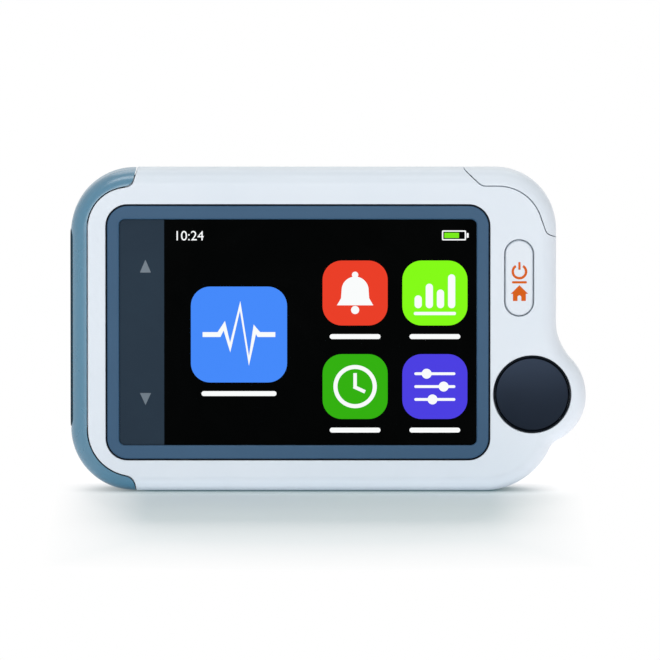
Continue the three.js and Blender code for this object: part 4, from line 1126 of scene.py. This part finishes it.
def lit(name, colour):
    """Colour that gives its own light, a little dimmer between the dots."""
    material, tree, surface = blank_material(name)
    bright = shade(*colour)
    dim = [c * BETWEEN_DOTS for c in bright[:3]] + [1.0]
    fill(tree, surface, {
        "Emission Color": mix_colours(tree, shared(tree, dots)["Light"], dim, bright),
        "Emission Strength": 1.0, "Base Color": shade(8, 8, 9), "Roughness": 0.12,
        "Specular IOR Level": 0.03,
    })
    return material


black_pane = pane("display_black", (2, 3, 3), (4, 5, 5), (0.06, 0.13))
strip_print = pane("touch_strip_print", (45, 59, 72), (43, 56, 69), (0.1, 0.17))
arrow_print = pane("arrow_print", (120, 132, 142), (112, 124, 134), (0.2, 0.26))
LIT = {
    "tile_blue": (67, 137, 251), "tile_red": (234, 60, 35), "tile_lime": (131, 251, 14),
    "tile_green": (48, 176, 3), "tile_violet": (74, 61, 226), "white": (250, 252, 252),
    "level": (120, 235, 20),
}
lights = {name: lit("lit_" + name, colour) for name, colour in LIT.items()}
for name, thing in screen.items():
    put(lights.get(name, lights["white"]), thing)
put(lights["level"], screen["battery_level"])
put(strip_print, screen["touch_strip"])
put(arrow_print, screen["arrows"])
put(black_pane, display_window)
put(plastic("orange_print", (218, 98, 8), (210, 92, 6), (0.4, 0.5), 14000.0, 0.04, 0.1), key_print)
print("lit colours:", len(lights))

# %% [markdown]
# ## Metal and dark glass
# The electrodes have a dark conductive finish, which is metal with a soft, wide highlight.
# The screws and the socket are plain rolled steel, whose fine lines stretch the highlight.
# The finger window is a very dark red and polished, so its highlight is sharp.

# %% Electrodes, steel and the finger window


def metal(name, light, dark, rough):
    """Bare metal with drawn lines."""
    material, tree, surface = blank_material(name)
    texture = shared(tree, drawn)
    fill(tree, surface, {
        "Base Color": two_tones(tree, texture["Tone"], light, dark),
        "Roughness": spread(tree, texture["Height"], 0.25, 0.75, *rough), "Metallic": 1.0,
        "Normal": bump(tree, texture["Height"], 0.15),
    })
    return material


disc_coat = plastic("electrode_coat", (30, 38, 50), (27, 34, 45), (0.3, 0.36), 16000.0, 0.05, 0.3, 0.9)
strip_coat = plastic("strip_coat", (40, 60, 72), (36, 55, 66), (0.3, 0.38), 16000.0, 0.05, 0.3, 0.9)
steel = metal("rolled_steel", (196, 199, 203), (176, 180, 186), (0.24, 0.36))
put(disc_coat, thumb_disc, back_plate)
put(strip_coat, side_strip)
put(steel, socket_shell, *housing_screws)
put(pane("red_filter", (52, 9, 12), (40, 6, 9), (0.07, 0.14), 0.5), finger_window)
print("metals:", [m.name for m in (disc_coat, strip_coat, steel)])

# %% [markdown]
# ## Inside the housing
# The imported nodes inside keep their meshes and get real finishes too: green board with its
# traces, tin, gold springs, foam, amber ribbon and the battery's foil. Nobody sees them until
# the housing is hidden, but then the part still looks like what it is.

# %% Board, chips and foil


def board_material():
    """Solder resist over copper lines, with gold pads."""
    material, tree, surface = blank_material("board_green")
    where = place(tree)
    paths = add(tree, "ShaderNodeTexVoronoi", {"Vector": where, "Scale": 420.0},
                distance="MANHATTAN", feature="F2").outputs["Distance"]
    lines = spread(tree, number(tree, "FRACT", number(tree, "MULTIPLY", paths, 3.0)), 0.42, 0.5)
    fill(tree, surface, {
        "Base Color": two_tones(tree, lines, (22, 88, 52), (34, 112, 66)),
        "Roughness": spread(tree, lines, 0, 1, 0.34, 0.42), "Normal": bump(tree, lines, 0.3),
    })
    return material


foam_black = plastic("foam_black", (30, 31, 33), (22, 23, 25), (0.85, 0.95), 3000.0, 0.6)
chip_black = plastic("chip_black", (30, 31, 33), (25, 26, 28), (0.42, 0.55), 8000.0, 0.15)
INSIDE = (
    (board_material(), "main_board"),
    (foam_black, "panel_gasket", "battery_pad", "speaker_mesh"),
    (black_pane, "lcd_panel"),
    (chip_black, "processor", "analogue_chip", "flash_chip", "button_switch", "switch_plunger",
     "oximeter_sensor", "speaker", "socket_tongue"),
    (plastic("ribbon_amber", (186, 118, 44), (170, 102, 34), (0.3, 0.42), 1500.0, 0.1), "display_flex"),
    (plastic("battery_foil", (190, 198, 206), (176, 185, 195), (0.25, 0.4), 700.0, 0.4, metallic=0.7),
     "battery"),
    (metal("tin_plate", (204, 207, 211), (188, 192, 197), (0.28, 0.4)), "backlight_tray", "shield_can"),
    (metal("pressed_plate", (160, 164, 169), (146, 150, 156), (0.4, 0.5)), "mid_frame"),
    (metal("gold_flash", (214, 172, 84), (200, 156, 70), (0.22, 0.34)),
     "thumb_contact", "left_contact", "back_contact"),
    (steel, "board_screw_1", "board_screw_2"),
)
inside = {node: material for material, *nodes in INSIDE for node in nodes}
for node, material in inside.items():
    put(material, frame["nodes"][node])
bare = set(frame["nodes"]) - set(inside) - set(DRESSED)
print("packed nodes finished:", len(inside), "left:", sorted(bare))

# %% [markdown]
# ## Floor, light and camera
# The monitor stands on its lower edge on a white floor, in white surroundings. The camera sees
# both as white, while the light on the object stays at a level at which its colours come out
# as they are written. Near the object the floor is lit as paper is, so that it takes a shadow,
# and its colour is darkened where the object closes it in, which is painted contact shade.
# Further away, in front and to each side, it turns into plain white, and that fade starts
# inside the shadow, so it is also painted light over the shadow's far end and sides. One lamp
# lights the floor alone, for the shadow in front, and the front lamp leaves the floor out.

# %% Floor and surroundings
scene = bpy.context.scene
scene.view_settings.view_transform = "Standard"


def seen_directly(tree):
    """1 for a ray from the camera, from a mirror or through glass."""
    path = add(tree, "ShaderNodeLightPath").outputs
    seen = number(tree, "ADD", path["Is Camera Ray"], path["Is Glossy Ray"])
    total = number(tree, "ADD", seen, path["Is Transmission Ray"])
    return number(tree, "MINIMUM", total, 1.0)


WHITE = (1.0, 1.0, 1.0, 1.0)
FLOOR_LIFT, FLOOR_BOUNCE = (0.01, 0.05, 0.055, 1.0), (0.23, 0.23, 0.23, 1.0)
# Where the floor fades into plain white, in front and to each side; the fade starts inside the shadow, so it
# is also painted light.
NEAR, AWAY = 0.098, 0.15
NEAR_SIDE, AWAY_SIDE, SIDE_SHIFT = 0.029, 0.045, 0.0015
CONTACT, SURROUND = 0.006, 0.33


def floor_material():
    """Pale paper near the object, with painted contact shade, that turns into plain white further away and
    to each side.
    """
    material, tree, surface = blank_material("white_floor")
    seen, where = seen_directly(tree), place(tree)
    # Ambient occlusion darkens the paper's colour where the object closes it in: painted contact shade, on
    # top of the lamps' real shadow.
    painted_contact_shade_mask = add(tree, "ShaderNodeAmbientOcclusion", {"Distance": CONTACT}, samples=8).outputs["AO"]
    sheet = two_tones(tree, painted_contact_shade_mask, (110, 122, 125), (240, 244, 245))
    fill(tree, surface, {
        "Base Color": mix_colours(tree, seen, shade(247, 248, 249), sheet),
        "Roughness": 0.9, "Specular IOR Level": 0.0,
        "Emission Color": mix_colours(tree, seen, FLOOR_BOUNCE, FLOOR_LIFT), "Emission Strength": 1.0,
    })
    plain = add(tree, "ShaderNodeEmission", {"Color": WHITE}).outputs[0]
    # These masks turn the floor plain white further out, and also paint light over the shadow's far end and
    # cut its sides straight.
    distance = add(tree, "ShaderNodeVectorMath", {0: where}, operation="LENGTH").outputs["Value"]
    across = add(tree, "ShaderNodeSeparateXYZ", {0: where}).outputs["X"]
    aside = number(tree, "ABSOLUTE", number(tree, "ADD", across, SIDE_SHIFT))
    backdrop_and_painted_light_beside = spread(tree, aside, NEAR_SIDE, AWAY_SIDE)
    backdrop_and_painted_light_ahead = spread(tree, distance, NEAR, AWAY)
    away = number(tree, "MULTIPLY", number(tree, "MAXIMUM", backdrop_and_painted_light_ahead, backdrop_and_painted_light_beside), seen)
    both = add(tree, "ShaderNodeMixShader", {0: away, 1: surface.outputs[0], 2: plain}).outputs[0]
    fill(tree, tree.nodes["Material Output"], {"Surface": both})
    return material


bpy.ops.mesh.primitive_grid_add(x_subdivisions=4, y_subdivisions=4, size=12, location=(0, 0, 0))
floor = bpy.context.object
floor.name = floor.data.name = "floor"
put(floor_material(), floor)

world = bpy.data.worlds.new("studio")
scene.world = world
world.use_nodes = True
tree = world.node_tree
strength = spread(tree, seen_directly(tree), 0, 1, SURROUND, 1.0)
fill(tree, tree.nodes["Background"], {"Color": WHITE, "Strength": strength})
print("floor is", tuple(round(s, 2) for s in floor.dimensions), "m")

# %% Lamps and camera
MIDDLE = (0, 0, 27)


def aim(thing, start, end):
    """Puts a lamp or a camera in place and turns it to a point."""
    thing.location = start
    thing.rotation_euler = (end - start).to_track_quat("-Z", "Y").to_euler()


def soft_box(name, where, target, width, height, power):
    """Large rectangular lamp that looks at a point; places in millimetres."""
    light = bpy.data.lights.new(name, "AREA")
    light.shape, light.size, light.size_y, light.energy = "RECTANGLE", width * MM, height * MM, power
    lamp = linked(name, light)
    aim(lamp, Vector(where) * MM, Vector(target) * MM)
    lamp.visible_camera = False
    return lamp


def floor_only(lamp, state):
    """Lets a lamp light the floor alone (INCLUDE), or everything else (EXCLUDE)."""
    receivers = bpy.data.collections.new("receivers_" + lamp.name)
    receivers.objects.link(floor)
    receivers.collection_objects[0].light_linking.link_state = state
    lamp.light_linking.receiver_collection = receivers


front_box = soft_box("front_box", (-60, -850, 190), MIDDLE, 760, 320, 2.38)
soft_box("rear_box", (20, 450, 560), MIDDLE, 500, 380, 0.6)
soft_box("top_strip", (0, -120, 640), MIDDLE, 700, 200, 1.45)
shadow_lamp = soft_box("shadow_lamp", (0, 590, 390), (0, -60, 0), 400, 380, 5.6)
shadow_lamp.data.color = (1.0, 0.84, 0.81)
floor_only(front_box, "EXCLUDE")
floor_only(shadow_lamp, "INCLUDE")

LENS, SENSOR, DISTANCE, ELEVATION = 800.0, 36.0, 2500.0, 4.5
AIM = Vector((0.32, FRONT, 27.7)) * MM
lift = math.radians(ELEVATION)
camera = linked("camera", bpy.data.cameras.new("camera"))
camera.data.lens, camera.data.sensor_width = LENS, SENSOR
aim(camera, AIM + Vector((0, -math.cos(lift), math.sin(lift))) * DISTANCE * MM, AIM)
camera.data.clip_start, camera.data.clip_end = 0.01, 50.0
scene.camera = camera
print("camera stands at", tuple(round(c, 3) for c in camera.location))
